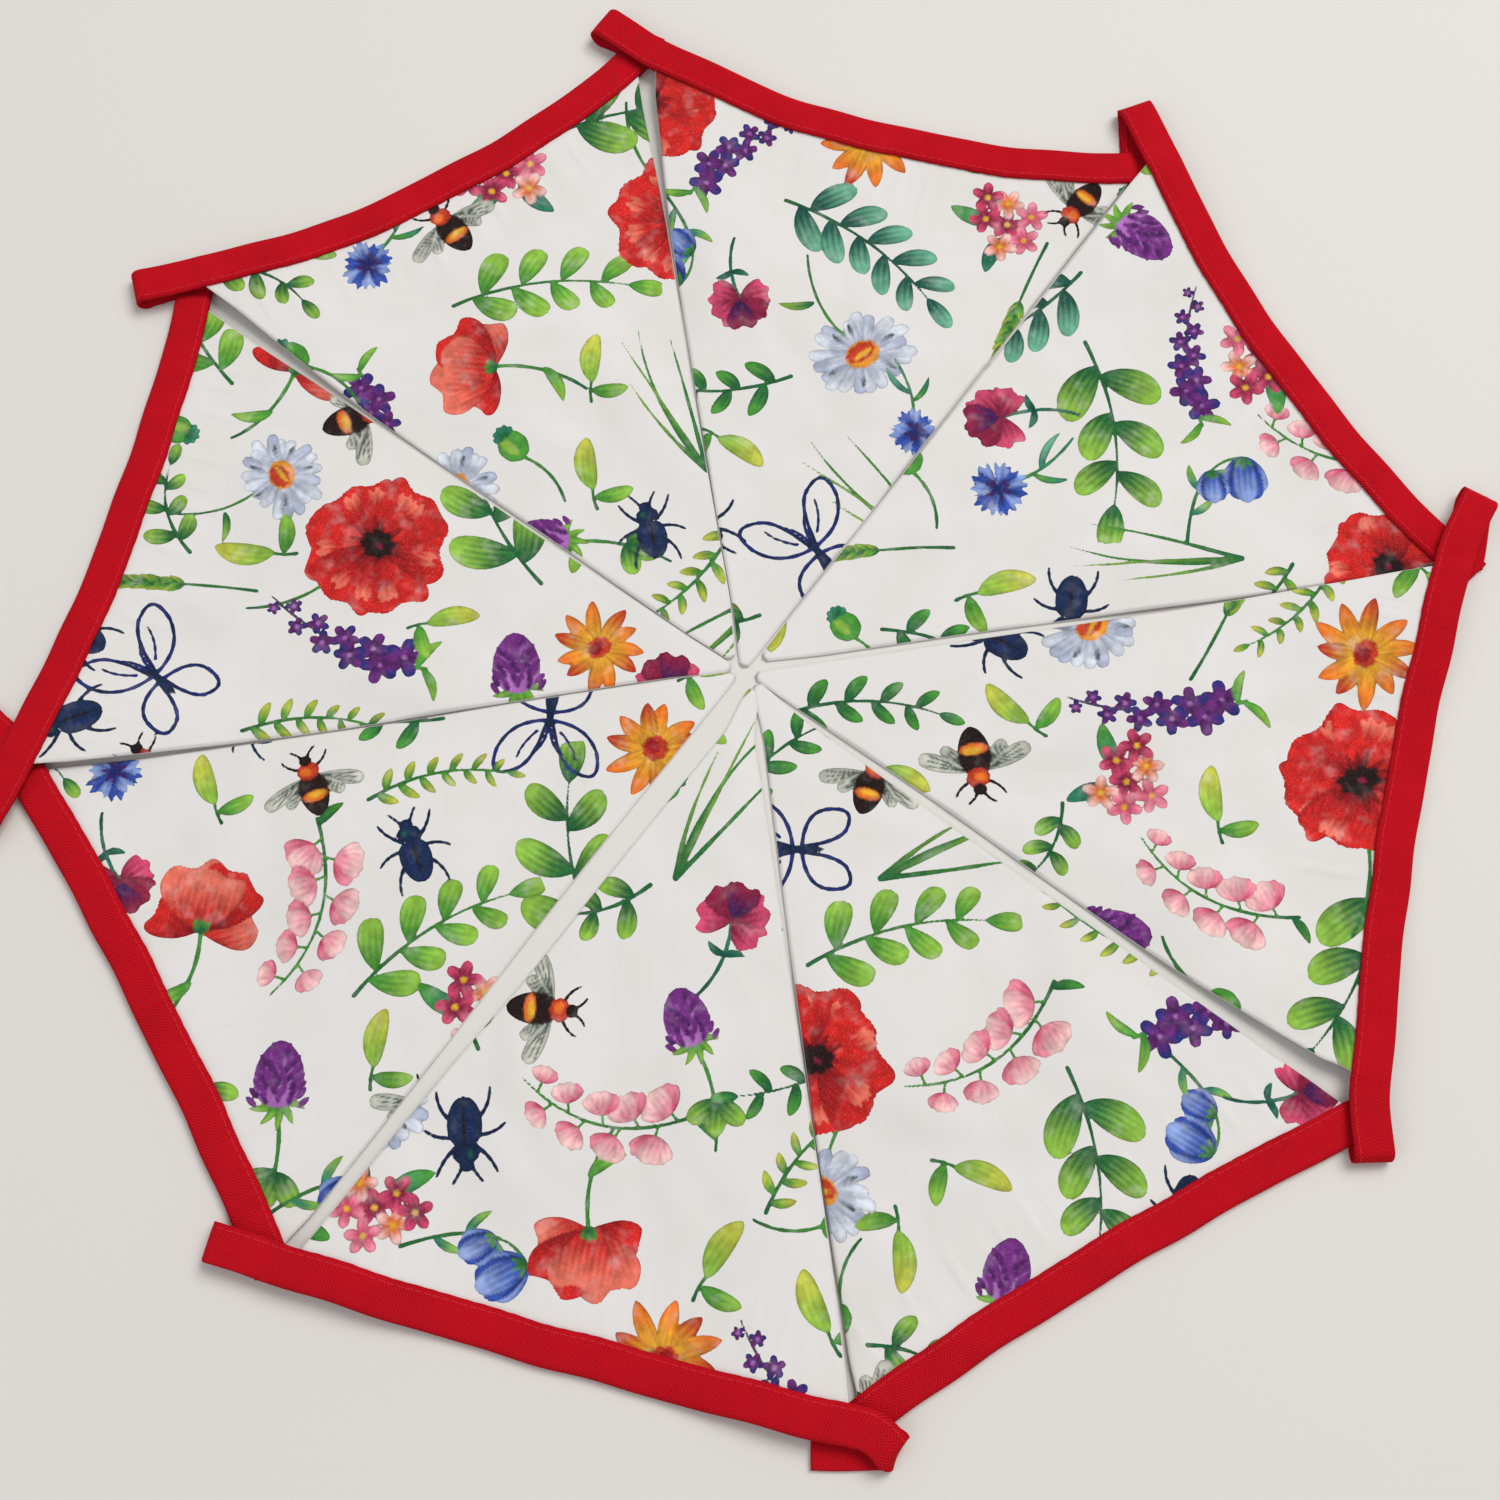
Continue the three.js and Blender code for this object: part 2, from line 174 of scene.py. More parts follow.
def add_values(mesh: bpy.types.Mesh, name: str, values: Array) -> None:
    """Give a mesh one number or one colour for each vertex, under a name that a material reads.

    Args:
        mesh: The mesh.
        name: The name.
        values: A number or a colour for each vertex.
    """
    kind, item = ("FLOAT", "value") if values.ndim == 1 else ("FLOAT_COLOR", "color")
    made = mesh.attributes.new(name, kind, "POINT")
    made.data.foreach_set(item, np.ascontiguousarray(values, dtype=np.float32).ravel())


def add_uv(mesh: bpy.types.Mesh, across: Array, along: Array) -> None:
    """Give a mesh a UV map from each vertex's place on its cloth, in metres.

    Args:
        mesh: The mesh.
        across: Millimetres across the cloth.
        along: Millimetres along it.
    """
    corners = np.empty(len(mesh.loops), dtype=np.int32)
    mesh.loops.foreach_get("vertex_index", corners)
    uv = np.stack([across, along], axis=1)[corners] * MM
    layer = mesh.uv_layers.new(name="cloth")
    layer.data.foreach_set("uv", uv.astype(np.float32).ravel())


class TapeEnd(Enum):
    """How a flag's tape lies where it meets its neighbour's at a corner."""

    OVER = "over"
    UNDER = "under"


@dataclass(frozen=True)
class FlagCut:
    """The sizes that all the flags share, from the tip (y = 0) to the tape (y = depth)."""

    depth: float = 212.0
    half_width: float = 88.0
    tip_back: float = 3.2
    tip_radius: float = 2.0
    hem: float = 11.2
    bow_power: float = 2.5
    bow_start: float = 40.0
    rise_start: float = 120.0
    swell_fade: float = 180.0
    hem_start: float = 184.0
    side_start: float = 20.0
    side_end: float = 200.0
    rise_done: float = 205.0

    def half_width_at(self, y: Array) -> Array:
        """Return half the width at y: a small round tip, straight sides, square ends.

        Args:
            y: Distances from the tip.

        Returns:
            Half the width at each.
        """
        sides = (y + self.tip_back) * self.half_width / (self.depth + self.tip_back)
        tip = np.sqrt(np.maximum(0.0, y * (2.0 * self.tip_radius - y)))
        return np.where(y > self.depth, self.half_width, np.where(y < self.tip_radius, tip, sides))


@dataclass(frozen=True)
class TapeCut:
    """The tape's sizes: 25 mm twill tape, folded in half along its middle."""

    width: float = 12.5
    over_cloth: float = 3.6
    free: float = 2.0
    inside_rise: float = 1.3
    layer_gap: float = 0.4
    taper: float = 4.2
    hold: float = 16.0
    ease: float = 60.0

    @property
    def over_rise(self) -> float:
        """Return how much higher the upper of two crossing tapes lies."""
        return self.over_cloth + self.layer_gap


CUT = FlagCut()
TAPE = TapeCut()


class Ink(Enum):
    """The print's inks, as red, green and blue bytes."""

    POPPY = 0xD4201B
    POPPY_LIGHT = 0xEE7660
    POPPY_DARK = 0xA2121A
    SOOT = 0x21100F
    ORANGE = 0xEF7420
    AMBER = 0xF4B52F
    RUST = 0xC8391B
    PINK = 0xF08FA2
    PINK_LIGHT = 0xFACBC6
    ROSE = 0xDB4A72
    PURPLE = 0x742B80
    PLUM = 0x4B1C5E
    LILAC = 0xB06BBB
    WINE = 0x8E1B42
    BLUE = 0x3354B4
    DEEP_BLUE = 0x1E2F78
    SKY = 0x8EA6DE
    MIST = 0xDDE2EC
    MIST_DARK = 0xB2BAD2
    LEAF = 0x4A9A34
    LEAF_DARK = 0x1F6B38
    LEAF_LIGHT = 0x93C445
    SEA = 0x2B8467
    SEA_DARK = 0x17574A
    SEA_LIGHT = 0x6FB695
    STRAW = 0xC9CB4A
    NAVY = 0x14284C
    INDIGO = 0x232F7C
    HONEY = 0xF09A26
    WING = 0xCDCEC0
    WING_DARK = 0x4C5952

    @property
    def light(self) -> Array:
        """Return the ink as linear red, green and blue."""
        return np.array(linear(self.value))


# Pairs of inks, from the foot of a stroke to its end.
STEM = (Ink.LEAF, Ink.LEAF_DARK)
TWIG = (Ink.LEAF_DARK, Ink.LEAF)
YOUNG_LEAF = (Ink.LEAF, Ink.LEAF_LIGHT)
SHADED_LEAF = (Ink.LEAF_DARK, Ink.LEAF_LIGHT)

# Outlines of petals and leaves, as the two powers that Brush.petal takes.
POINTED = (0.6, 0.8)
EVEN = (0.6, 0.6)
SEPAL = (0.5, 0.9)
FULL = (0.7, 0.5)


@dataclass(frozen=True)
class Wash:
    """How ink lies in every stroke: lengths in the motif's millimetres, and shares of the ink."""

    rim: float = 0.55
    rim_dark: float = 0.3
    blot: float = 0.11
    blot_along: Pair = (1.9, 2.3)
    blot_aslant: Pair = (1.1, 1.4)
    frill_waves: float = 11.0
    blunt: float = 0.15
    bleed: float = 0.12
    bleed_waves: float = 3.0
    blend: Pair = (0.1, 0.95)
    vein_waves: float = 26.0
    vein_slant: float = 5.0
    vein_fade: float = 0.8
    one_side: float = 0.13
    line_steps: int = 20
    line_dark: float = 0.12
    line_waver: float = 0.06
    line_waves: float = 23.0


WASH = Wash()


@dataclass(frozen=True)
class Curve:
    """A curved line from a start to an end, drawn toward a bend between them."""

    start: Pair
    bend: Pair
    end: Pair

    @property
    def points(self) -> Array:
        """Return the three given points, one a row."""
        return np.array([self.start, self.bend, self.end], dtype=float)

    def at(self, share: float | Array) -> Array:
        """Return points of the line: a quadratic of the three given points.

        Args:
            share: One share of the way, or many.

        Returns:
            The point at each share.
        """
        t = np.asarray(share, dtype=float)[..., None]
        start, bend, end = self.points
        return (1.0 - t) ** 2 * start + 2.0 * t * (1.0 - t) * bend + t**2 * end

    def heading(self, share: float) -> float:
        """Return the direction of the line.

        Args:
            share: The share of the way.

        Returns:
            Its direction there, in degrees.
        """
        first, last = np.diff(self.points, axis=0)
        run = (1.0 - share) * first + share * last
        return math.degrees(math.atan2(run[1], run[0]))


@dataclass
class Canvas:
    """The print on one face of a flag, at the face's own points.

    colour is the ink at each point, carried on past the ink's edge. depth is how far the point
    lies inside the nearest printed edge, and less than nothing on bare cloth.
    """

    x: Array
    y: Array
    colour: Array = field(init=False)
    depth: Array = field(init=False)
    far: float = -3.0
    soft: float = 0.22

    def __post_init__(self) -> None:
        """Start with bare cloth."""
        self.colour = np.tile(Ink.LEAF.light, (len(self.x), 1))
        self.depth = np.full(len(self.x), self.far)

    def lay(self, index: Numbers, depth: Array, colour: Array) -> None:
        """Lay ink on some points, over what is there and round it, with a soft edge on other ink.

        Args:
            index: The numbers of the points.
            depth: How far each lies inside the new shape's edge.
            colour: The ink at each of them.
        """
        there = self.depth[index]
        on_ink = smoothstep(depth, -self.soft, self.soft)
        cover = np.where(there > 0.0, on_ink, (depth > there).astype(float))[:, None]
        self.colour[index] += (colour - self.colour[index]) * cover
        self.depth[index] = np.maximum(there, depth)


@dataclass
class Brush:
    """Paints one motif, in the motif's own millimetres, on the canvas points near it."""

    canvas: Canvas
    index: Numbers
    u: Array
    v: Array
    size: float
    chance: np.random.Generator

    @classmethod
    def on(
        cls, canvas: Canvas, place: Array, angle: float, size: float, reach: float, seed: int
    ) -> Brush:
        """Return a brush for a motif at this place, turned by this angle in radians.

        Args:
            canvas: The face's print.
            place: The motif's middle on the face.
            angle: Its turn, in radians.
            size: Its scale.
            reach: How far from its middle it paints, before scaling.
            seed: Sets its chances.

        Returns:
            The brush.
        """
        dx, dy = canvas.x - place[0], canvas.y - place[1]
        index = np.nonzero(dx * dx + dy * dy < (reach * size) ** 2)[0]
        cos, sin = math.cos(angle), math.sin(angle)
        u = (dx[index] * cos + dy[index] * sin) / size
        v = (dy[index] * cos - dx[index] * sin) / size
        return cls(canvas, index, u, v, size, np.random.default_rng(seed))

    def jitter(self, spread: float) -> float:
        """Return a small number by chance, from minus spread to spread."""
        return float(self.chance.uniform(-spread, spread))

    def seen_from(self, place: Pair, angle: float) -> tuple[Array, Array]:
        """Return the points as along and aside of a direction, in degrees, from a place.

        Args:
            place: Where along and aside begin.
            angle: The direction.

        Returns:
            How far each lies along and aside.
        """
        cos, sin = math.cos(math.radians(angle)), math.sin(math.radians(angle))
        du, dv = self.u - place[0], self.v - place[1]
        return du * cos + dv * sin, dv * cos - du * sin

    def lay(self, depth: Array, colour: Array, rim_dark: float = WASH.rim_dark) -> None:
        """Lay a wash of ink that is blotchy, and darker where it dried along its edge.

        Args:
            depth: How far each point lies inside the shape, in the motif's millimetres.
            colour: One ink, or an ink for each point.
            rim_dark: How much darker the edge is.
        """
        edge = np.exp(-np.maximum(depth, 0.0) / WASH.rim)
        phase = self.jitter(3.0)
        wave_u, wave_v = WASH.blot_along
        wave_sum, wave_gap = WASH.blot_aslant
        plus, minus = self.u + self.v, self.u - self.v
        blot = np.sin(self.u / wave_u + phase) * np.sin(self.v / wave_v - phase) * 0.5
        blot += np.sin(plus / wave_sum + 2.0 * phase) * np.sin(minus / wave_gap) * 0.5
        wash = (1.0 - rim_dark * edge + WASH.blot * blot)[:, None]
        self.canvas.lay(self.index, depth * self.size, np.clip(colour * wash, 0.0, 1.0))

    def petal(
        self,
        place: Pair,
        angle: float,
        length: float,
        width: float,
        inks: tuple[Ink, Ink],
        belly: Pair = (0.8, 0.5),
        bend: float = 0.0,
        frill: float = 0.0,
        veins: float = 0.0,
        rim_dark: float = WASH.rim_dark,
    ) -> None:
        """Paint a petal or leaf.

        Its half width is its share of the way to a first power, times what is left of the way to
        a second power, so the second power is small on a blunt end. Its middle line bends aside
        by a parabola, and its far end is frilled by a sine.

        Args:
            place: Its foot.
            angle: Its direction, in degrees.
            length: Its length.
            width: Its greatest width.
            inks: The ink at its foot and at its end.
            belly: The two powers.
            bend: How far its middle bends aside, as a share of its length.
            frill: How deep its end is frilled, as a share of its length.
            veins: How much darker its veins are.
            rim_dark: How much darker its edge is.
        """
        along, aside = self.seen_from(place, angle)
        share = np.clip(along / length, 0.0, 1.0)
        aside = aside - 4.0 * bend * length * share * (1.0 - share)
        phase = self.jitter(3.0)
        reach = length * (1.0 - frill * (0.5 + 0.5 * np.sin(WASH.frill_waves * aside / width + phase)))
        share = np.clip(along / reach, 0.0, 1.0)
        first, second = belly
        peak = (first / (first + second)) ** first * (second / (first + second)) ** second
        half = width / 2.0 * share**first * (1.0 - share) ** second / peak
        depth = np.minimum(half - np.abs(aside), np.minimum(along, reach - along) + WASH.blunt)
        beyond = np.maximum(np.maximum(-along, along - reach), 0.0)
        depth = np.where(beyond > 0.0, -np.hypot(aside, beyond), depth)
        near, far = inks[0].light, inks[1].light
        bleed = share + WASH.bleed * np.sin(aside * WASH.bleed_waves + phase)
        mix = smoothstep(bleed, *WASH.blend)[:, None]
        lines = 0.5 + 0.5 * np.sin(WASH.vein_waves * aside / width + WASH.vein_slant * share + phase)
        shade = (1.0 - veins * lines * smoothstep(1.0 - share, 0.0, WASH.vein_fade))[:, None]
        side = (1.0 + WASH.one_side * np.tanh(2.0 * aside / width + self.jitter(1.0)))[:, None]
        self.lay(depth, (near + (far - near) * mix) * shade * side, rim_dark)

    def sprout(
        self, stem: Curve, share: float, swing: float, length: float, width: float, *look: object
    ) -> None:
        """Paint a petal or leaf on a stem, swung from the stem's direction by these degrees."""
        angle = stem.heading(share) + swing
        self.petal(tuple(stem.at(share)), angle, length, width, *look)

    def line(self, curve: Curve, width: float, inks: tuple[Ink, Ink], taper: float = 0.4) -> None:
        """Paint a stem or other line: within half its width of the nearest point of the curve.

        Args:
            curve: Its middle line.
            width: Its width at the start.
            inks: The ink at its start and its end.
            taper: How much thinner its end is, as a share.
        """
        steps = WASH.line_steps
        points = curve.at(np.linspace(0.0, 1.0, steps + 1))
        start, run = points[:-1], np.diff(points, axis=0)
        from_start = np.stack([self.u, self.v], axis=1)[:, None] - start
        share = np.clip((from_start * run).sum(axis=2) / (run * run).sum(axis=1), 0.0, 1.0)
        gap = np.linalg.norm(from_start - run * share[:, :, None], axis=2)
        nearest = gap.argmin(axis=1)
        pick = np.arange(len(nearest))
        along = (nearest + share[pick, nearest]) / steps
        waver = WASH.line_waver * np.sin(along * WASH.line_waves + width)
        half = width / 2.0 * (1.0 - taper * along) + waver
        colour = inks[0].light + (inks[1].light - inks[0].light) * along[:, None]
        self.lay(half - gap[pick, nearest], colour, WASH.line_dark)

    def oval(self, place: Pair, angle: float, radii: Pair, ink: Ink, wobble: float = 0.0) -> None:
        """Paint an oval or a dot, its rim wavy by a sine of the angle.

        Args:
            place: Its middle.
            angle: The direction of its first radius, in degrees.
            radii: Its two radii.
            ink: Its ink.
            wobble: How wavy its rim is, as a share.
        """
        along, aside = self.seen_from(place, angle)
        a, b = along / radii[0], aside / radii[1]
        bearing = np.arctan2(b, a)
        edge = 1.0 + wobble * np.sin(5.0 * bearing + self.jitter(3.0)) * np.sin(3.0 * bearing)
        self.lay((edge - np.hypot(a, b)) * min(radii), ink.light)


def poppy(brush: Brush) -> None:
    """Paint an open red flower: broad frilled petals with pale patches, and a dark ragged middle.

    Args:
        brush: The motif's brush.
    """
    turn = brush.jitter(60.0)
    brush.line(Curve((0, -8), (7, -32), (-3, -50)), 1.3, STEM, 0.2)
    for k in (0, 3, 1, 4, 2, 5):
        angle = turn + 60.0 * k + brush.jitter(8.0)
        inks = (Ink.POPPY_DARK, Ink.POPPY) if k % 2 else (Ink.POPPY, Ink.POPPY)
        brush.petal((0, 0), angle, 24 + brush.jitter(2), 27, inks, (0.85, 0.2), 0.0, 0.09, 0.2)
        for _ in range(2):
            heading = math.radians(angle + brush.jitter(24.0))
            foot = (12.5 * math.cos(heading), 12.5 * math.sin(heading))
            pale = (Ink.POPPY, Ink.POPPY_LIGHT)
            brush.petal(foot, math.degrees(heading), 9, 5.6, pale, (0.9, 0.3), 0.0, 0.2, 0.4, 0.0)
    for k in range(15):
        angle = turn + 24.0 * k + brush.jitter(9.0)
        brush.petal((0, 0), angle, 9.5 + brush.jitter(2.6), 2.8, (Ink.SOOT, Ink.POPPY_DARK), (0.4, 0.8))
    brush.oval((0, 0), 20, (6.0, 4.6), Ink.SOOT, 0.22)
    brush.oval((0.8, 0.2), 0, (1.5, 0.9), Ink.WINE, 0.2)


def side_poppy(brush: Brush) -> None:
    """Paint a red flower from the side: a fan of petals on a stem with a leaf.

    Args:
        brush: The motif's brush.
    """
    brush.line(Curve((-2, -4), (3, -22), (-6, -38)), 1.5, STEM, 0.2)
    brush.petal((0.5, -22), 215, 15, 4.5, YOUNG_LEAF, POINTED, 0.1)
    dark, light = (Ink.POPPY_DARK, Ink.POPPY), (Ink.POPPY, Ink.POPPY_LIGHT)
    fan = ((150, 17, dark), (32, 18, light), (118, 23, light), (62, 23, dark), (90, 20, light))
    for angle, length, inks in fan:
        brush.petal((-2, -5), angle + brush.jitter(5), length, 22, inks, (0.75, 0.25), 0.0, 0.1, 0.28)
    for angle in (60, 90, 120):
        brush.petal((-2, -6), angle, 5, 3, TWIG, SEPAL)


def daisy(brush: Brush) -> None:
    """Paint a pale daisy, seen a little from the side, with an amber and orange middle.

    Args:
        brush: The motif's brush.
    """
    petals = 19
    pale, grey = (Ink.MIST, Ink.MIST_DARK), (Ink.MIST_DARK, Ink.MIST)
    brush.line(Curve((1, -8), (5, -24), (-4, -40)), 1.1, STEM, 0.2)
    brush.petal((3, -24), -28, 12, 3.0, SHADED_LEAF, POINTED, 0.1)
    for k in range(petals):
        heading = math.radians(360.0 / petals * k + brush.jitter(6.0))
        tall = 0.8 + 0.2 * abs(math.cos(heading))
        angle = math.degrees(math.atan2(math.sin(heading) * 0.85, math.cos(heading)))
        inks = grey if k % 3 else pale
        length = 17.0 * tall + brush.jitter(1.6)
        brush.petal((0, 0), angle, length, 4.6, inks, (0.7, 0.3), 0.03, 0.0, 0.2)
    for k in range(6):
        angle = 60.0 * k + brush.jitter(22.0)
        heading = math.radians(angle)
        foot = (6.5 * math.cos(heading), 5.4 * math.sin(heading))
        brush.petal(foot, angle, 6.5, 1.5, (Ink.MIST_DARK, Ink.WING_DARK), (0.8, 0.5), 0.05)
    brush.oval((0, 0.2), 0, (6.0, 4.7), Ink.HONEY, 0.06)
    brush.oval((0.2, -0.7), 0, (5.0, 3.2), Ink.RUST, 0.12)
    brush.oval((-0.2, 0.2), 12, (3.6, 1.0), Ink.AMBER, 0.25)


def star_flower(brush: Brush) -> None:
    """Paint an orange flower with pointed petals and a dark red domed middle.

    Args:
        brush: The motif's brush.
    """
    for k in range(11):
        angle = 360.0 / 11 * k + brush.jitter(7.0)
        inks = (Ink.AMBER, Ink.ORANGE) if k % 3 else (Ink.AMBER, Ink.RUST)
        brush.petal((0, 0), angle, 17 + brush.jitter(2), 5.6, inks, (0.9, 0.75), 0.04, 0.0, 0.25)
    brush.oval((0, 0), 0, (4.4, 4.0), Ink.RUST, 0.12)
    brush.oval((0.8, -0.4), 0, (2.6, 2.2), Ink.POPPY_DARK, 0.2)


def cornflower(brush: Brush) -> None:
    """Paint a blue flower of toothed trumpets on a thin stem with narrow leaves.

    Args:
        brush: The motif's brush.
    """
    brush.line(Curve((0, -3), (-3, -16), (3, -30)), 1.2, (Ink.LEAF, Ink.SEA), 0.2)
    brush.petal((-1.2, -15), -58, 15, 2.6, (Ink.SEA, Ink.SEA_LIGHT), POINTED, 0.1)
    brush.petal((-0.9, -12), -128, 12, 2.4, (Ink.LEAF, Ink.SEA), POINTED, -0.1)
    brush.petal((0, -6.5), 90, 7, 4.4, TWIG, (0.5, 0.6))
    for k in range(11):
        angle = 360.0 / 11 * k + brush.jitter(8.0)
        inks = (Ink.DEEP_BLUE, Ink.BLUE) if k % 2 else (Ink.BLUE, Ink.SKY)
        brush.petal((0, 0), angle, 9 + brush.jitter(1.2), 5.0, inks, (1.3, 0.18), 0.0, 0.22, 0.3)
    for k in range(7):
        angle = 360.0 / 7 * k + brush.jitter(15.0)
        brush.petal((0, 0), angle, 4.2, 1.5, (Ink.DEEP_BLUE, Ink.PLUM), EVEN)


def bellflower(brush: Brush) -> None:
    """Paint two blue bells that hang from an arching stem.

    Args:
        brush: The motif's brush.
    """
    stem = Curve((-13, -20), (-8, 12), (10, 13))
    brush.line(stem, 1.3, TWIG, 0.3)
    for share, side in ((0.18, -1), (0.38, 1), (0.58, -1)):
        inks = (Ink.SEA, Ink.LEAF_LIGHT)
        brush.sprout(stem, share, 38.0 * side, 11, 3.0, inks, POINTED, 0.08 * side)
    for share, size in ((1.0, 1.0), (0.62, 0.72)):
        top = tuple(stem.at(share))
        for angle, length in ((-66, 15), (-114, 15), (-78, 17), (-102, 17), (-90, 18)):
            inks = (Ink.DEEP_BLUE, Ink.BLUE) if angle in (-78, -102) else (Ink.BLUE, Ink.SKY)
            brush.petal(top, angle, length * size, 8.6 * size, inks, (0.55, 0.45), 0.0, 0.0, 0.25)
        for angle in (-50, -90, -130):
            brush.petal(top, angle, 5.5 * size, 1.8, TWIG, SEPAL)


def clover(brush: Brush) -> None:
    """Paint a purple clover head, pale between its florets, on a stem with three-part leaves.

    Args:
        brush: The motif's brush.
    """
    brush.line(Curve((0, -6), (4, -24), (-4, -42)), 1.4, STEM, 0.2)
    for angle in (200, 250, 300):
        brush.petal((1.5, -26), angle, 12, 7.0, SHADED_LEAF, FULL, 0.0, 0.0, 0.2)
    for angle in (-15, -165, -55, -125, -90):
        brush.petal((0, -4.5), angle, 9, 2.6, YOUNG_LEAF, (0.6, 0.9), 0.1)
    brush.petal((0, -6.5), 90, 21, 15.5, (Ink.LILAC, Ink.PURPLE), (0.45, 0.6), 0.0, 0.0, 0.1)
    for row, count in enumerate((5, 6, 7, 6, 5, 3, 2)):
        half = (count - 1) / 2.0
        for k in range(count):
            lean = (k - half) / max(1.0, half)
            foot = (lean * (6.4 - 0.6 * row), -5.0 + 2.5 * row - 1.2 * abs(lean))
            inks = (Ink.PLUM, Ink.PURPLE) if (k + row) % 2 else (Ink.PURPLE, Ink.PURPLE)
            turn = 90 - 38 * lean + brush.jitter(9)
            brush.petal(foot, turn, 4.6, 2.0, inks, (0.6, 0.7), 0.0, 0.0, 0.0, 0.1)


def blossom_spray(brush: Brush) -> None:
    """Paint an arching spray of pink blossoms, smaller toward its end.

    Args:
        brush: The motif's brush.
    """
    stem = Curve((-30, -8), (0, 14), (30, -3))
    brush.line(stem, 1.3, TWIG, 0.4)
    for k in range(9):
        share = 0.1 + 0.1 * k
        side = 1 if k % 2 else -1
        foot = stem.at(share)
        angle = stem.heading(share) + 66.0 * side + brush.jitter(9.0)
        heading = math.radians(angle)
        bloom = (foot[0] + 3.5 * math.cos(heading), foot[1] + 3.5 * math.sin(heading))
        brush.line(Curve(tuple(foot), tuple(foot), bloom), 0.9, (Ink.LEAF, Ink.LEAF), 0.0)
        size = 10.5 - 0.55 * k
        for swing, near, far in (
            (-34, Ink.ROSE, Ink.PINK),
            (34, Ink.PINK, Ink.PINK_LIGHT),
            (0, Ink.PINK, Ink.PINK_LIGHT),
        ):
            brush.petal(bloom, angle + swing, size, size * 0.8, (near, far), (0.7, 0.3), 0.0, 0.06, 0.16)
    brush.petal(tuple(stem.at(0.03)), 150, 11, 3.6, TWIG, POINTED, 0.08)


def violet_spike(brush: Brush) -> None:
    """Paint a spike of small violet flowers, down to buds at its end.

    Args:
        brush: The motif's brush.
    """
    stem = Curve((-28, -6), (0, 6), (28, 0))
    brush.line(stem, 1.2, (Ink.LEAF, Ink.PLUM), 0.4)
    for k in range(10):
        share = 0.14 + 0.09 * k
        side = 1 if k % 2 else -1
        foot = stem.at(share) + [0.0, 2.4 * side]
        size = 6.8 - 0.5 * k
        for petal in range(5):
            inks = (Ink.PLUM, Ink.PURPLE) if petal % 2 else (Ink.PURPLE, Ink.INDIGO)
            angle = 72 * petal + 31 * k
            brush.petal(tuple(foot), angle, size, size * 0.62, inks, (0.6, 0.4), 0.0, 0.0, 0.2)
        brush.oval(tuple(foot), 0, (0.8, 0.8), Ink.LILAC)
    for share, side in ((0.02, 1), (0.05, -1)):
        brush.sprout(stem, share, 120 * side, 12, 3.2, YOUNG_LEAF, POINTED, 0.1)


def pink_cluster(brush: Brush) -> None:
    """Paint a bunch of small five-petalled flowers, with buds and two leaves.

    Args:
        brush: The motif's brush.
    """
    brush.petal((-3, -4), 222, 17, 6.5, (Ink.SEA, Ink.LEAF), (0.6, 0.7), 0.06, 0.0, 0.2)
    brush.petal((4, -4), -50, 16, 6.0, (Ink.SEA_DARK, Ink.SEA), (0.6, 0.7), -0.06, 0.0, 0.2)
    spots = ((0, 0), (8.5, 2.5), (-7.5, 4), (1, 9.5), (-5.5, -6), (7, -6.5), (-13, -1.5))
    for number, spot in enumerate(spots):
        inks = (Ink.ROSE, Ink.PINK) if number % 2 else (Ink.WINE, Ink.ROSE)
        if number in (2, 5):
            inks = (Ink.ORANGE, Ink.PINK_LIGHT)
        for k in range(5):
            angle = 72.0 * k + 25.0 * number + brush.jitter(6.0)
            brush.petal(spot, angle, 6.2, 3.8, inks, FULL, 0.0, 0.0, 0.2)
        brush.oval(spot, 0, (1.1, 1.1), Ink.AMBER)


def wine_flower(brush: Brush) -> None:
    """Paint a small dark pink flower with wavy petals on a jointed stem.

    Args:
        brush: The motif's brush.
    """
    brush.line(Curve((0, -4), (5, -18), (0, -30)), 1.3, (Ink.SEA, Ink.SEA_DARK), 0.1)
    for angle in (20, 160):
        brush.petal((2.2, -15), angle, 7, 2.6, (Ink.SEA_DARK, Ink.SEA), SEPAL, 0.1)
    for angle, near, far in (
        (200, Ink.WINE, Ink.ROSE),
        (-25, Ink.WINE, Ink.ROSE),
        (140, Ink.WINE, Ink.WINE),
        (40, Ink.WINE, Ink.ROSE),
        (90, Ink.PLUM, Ink.WINE),
    ):
        brush.petal((0, -3), angle, 12, 11, (near, far), (0.7, 0.25), 0.0, 0.12, 0.25)


@dataclass(frozen=True)
class LeafSpray:
    """Leaves in pairs along an arching stem, smaller toward its end."""

    pairs: int
    length: float
    width: float
    inks: tuple[Ink, Ink]
    belly: Pair = EVEN
    spread: float = 48.0
    reach: float = 30.0
    shrink: float = 0.35

    def __call__(self, brush: Brush) -> None:
        """Paint the spray.

        Args:
            brush: The motif's brush.
        """
        stem = Curve((-self.reach, -5), (0, 7), (self.reach, 0))
        brush.line(stem, 1.4, (Ink.LEAF_DARK, self.inks[0]), 0.5)
        for k in range(self.pairs):
            share = (k + 0.6) / (self.pairs + 0.4)
            smaller = 1.0 - self.shrink * share
            for side in (-1, 1):
                angle = stem.heading(share) + side * (self.spread + brush.jitter(7.0))
                foot = tuple(stem.at(share + 0.03 * side))
                length, width = self.length * smaller + brush.jitter(1.0), self.width * smaller
                brush.petal(foot, angle, length, width, self.inks, self.belly, 0.05 * side, 0.0, 0.22)
        brush.sprout(stem, 1.0, 0.0, self.length * 0.7, self.width * 0.7, self.inks, self.belly)


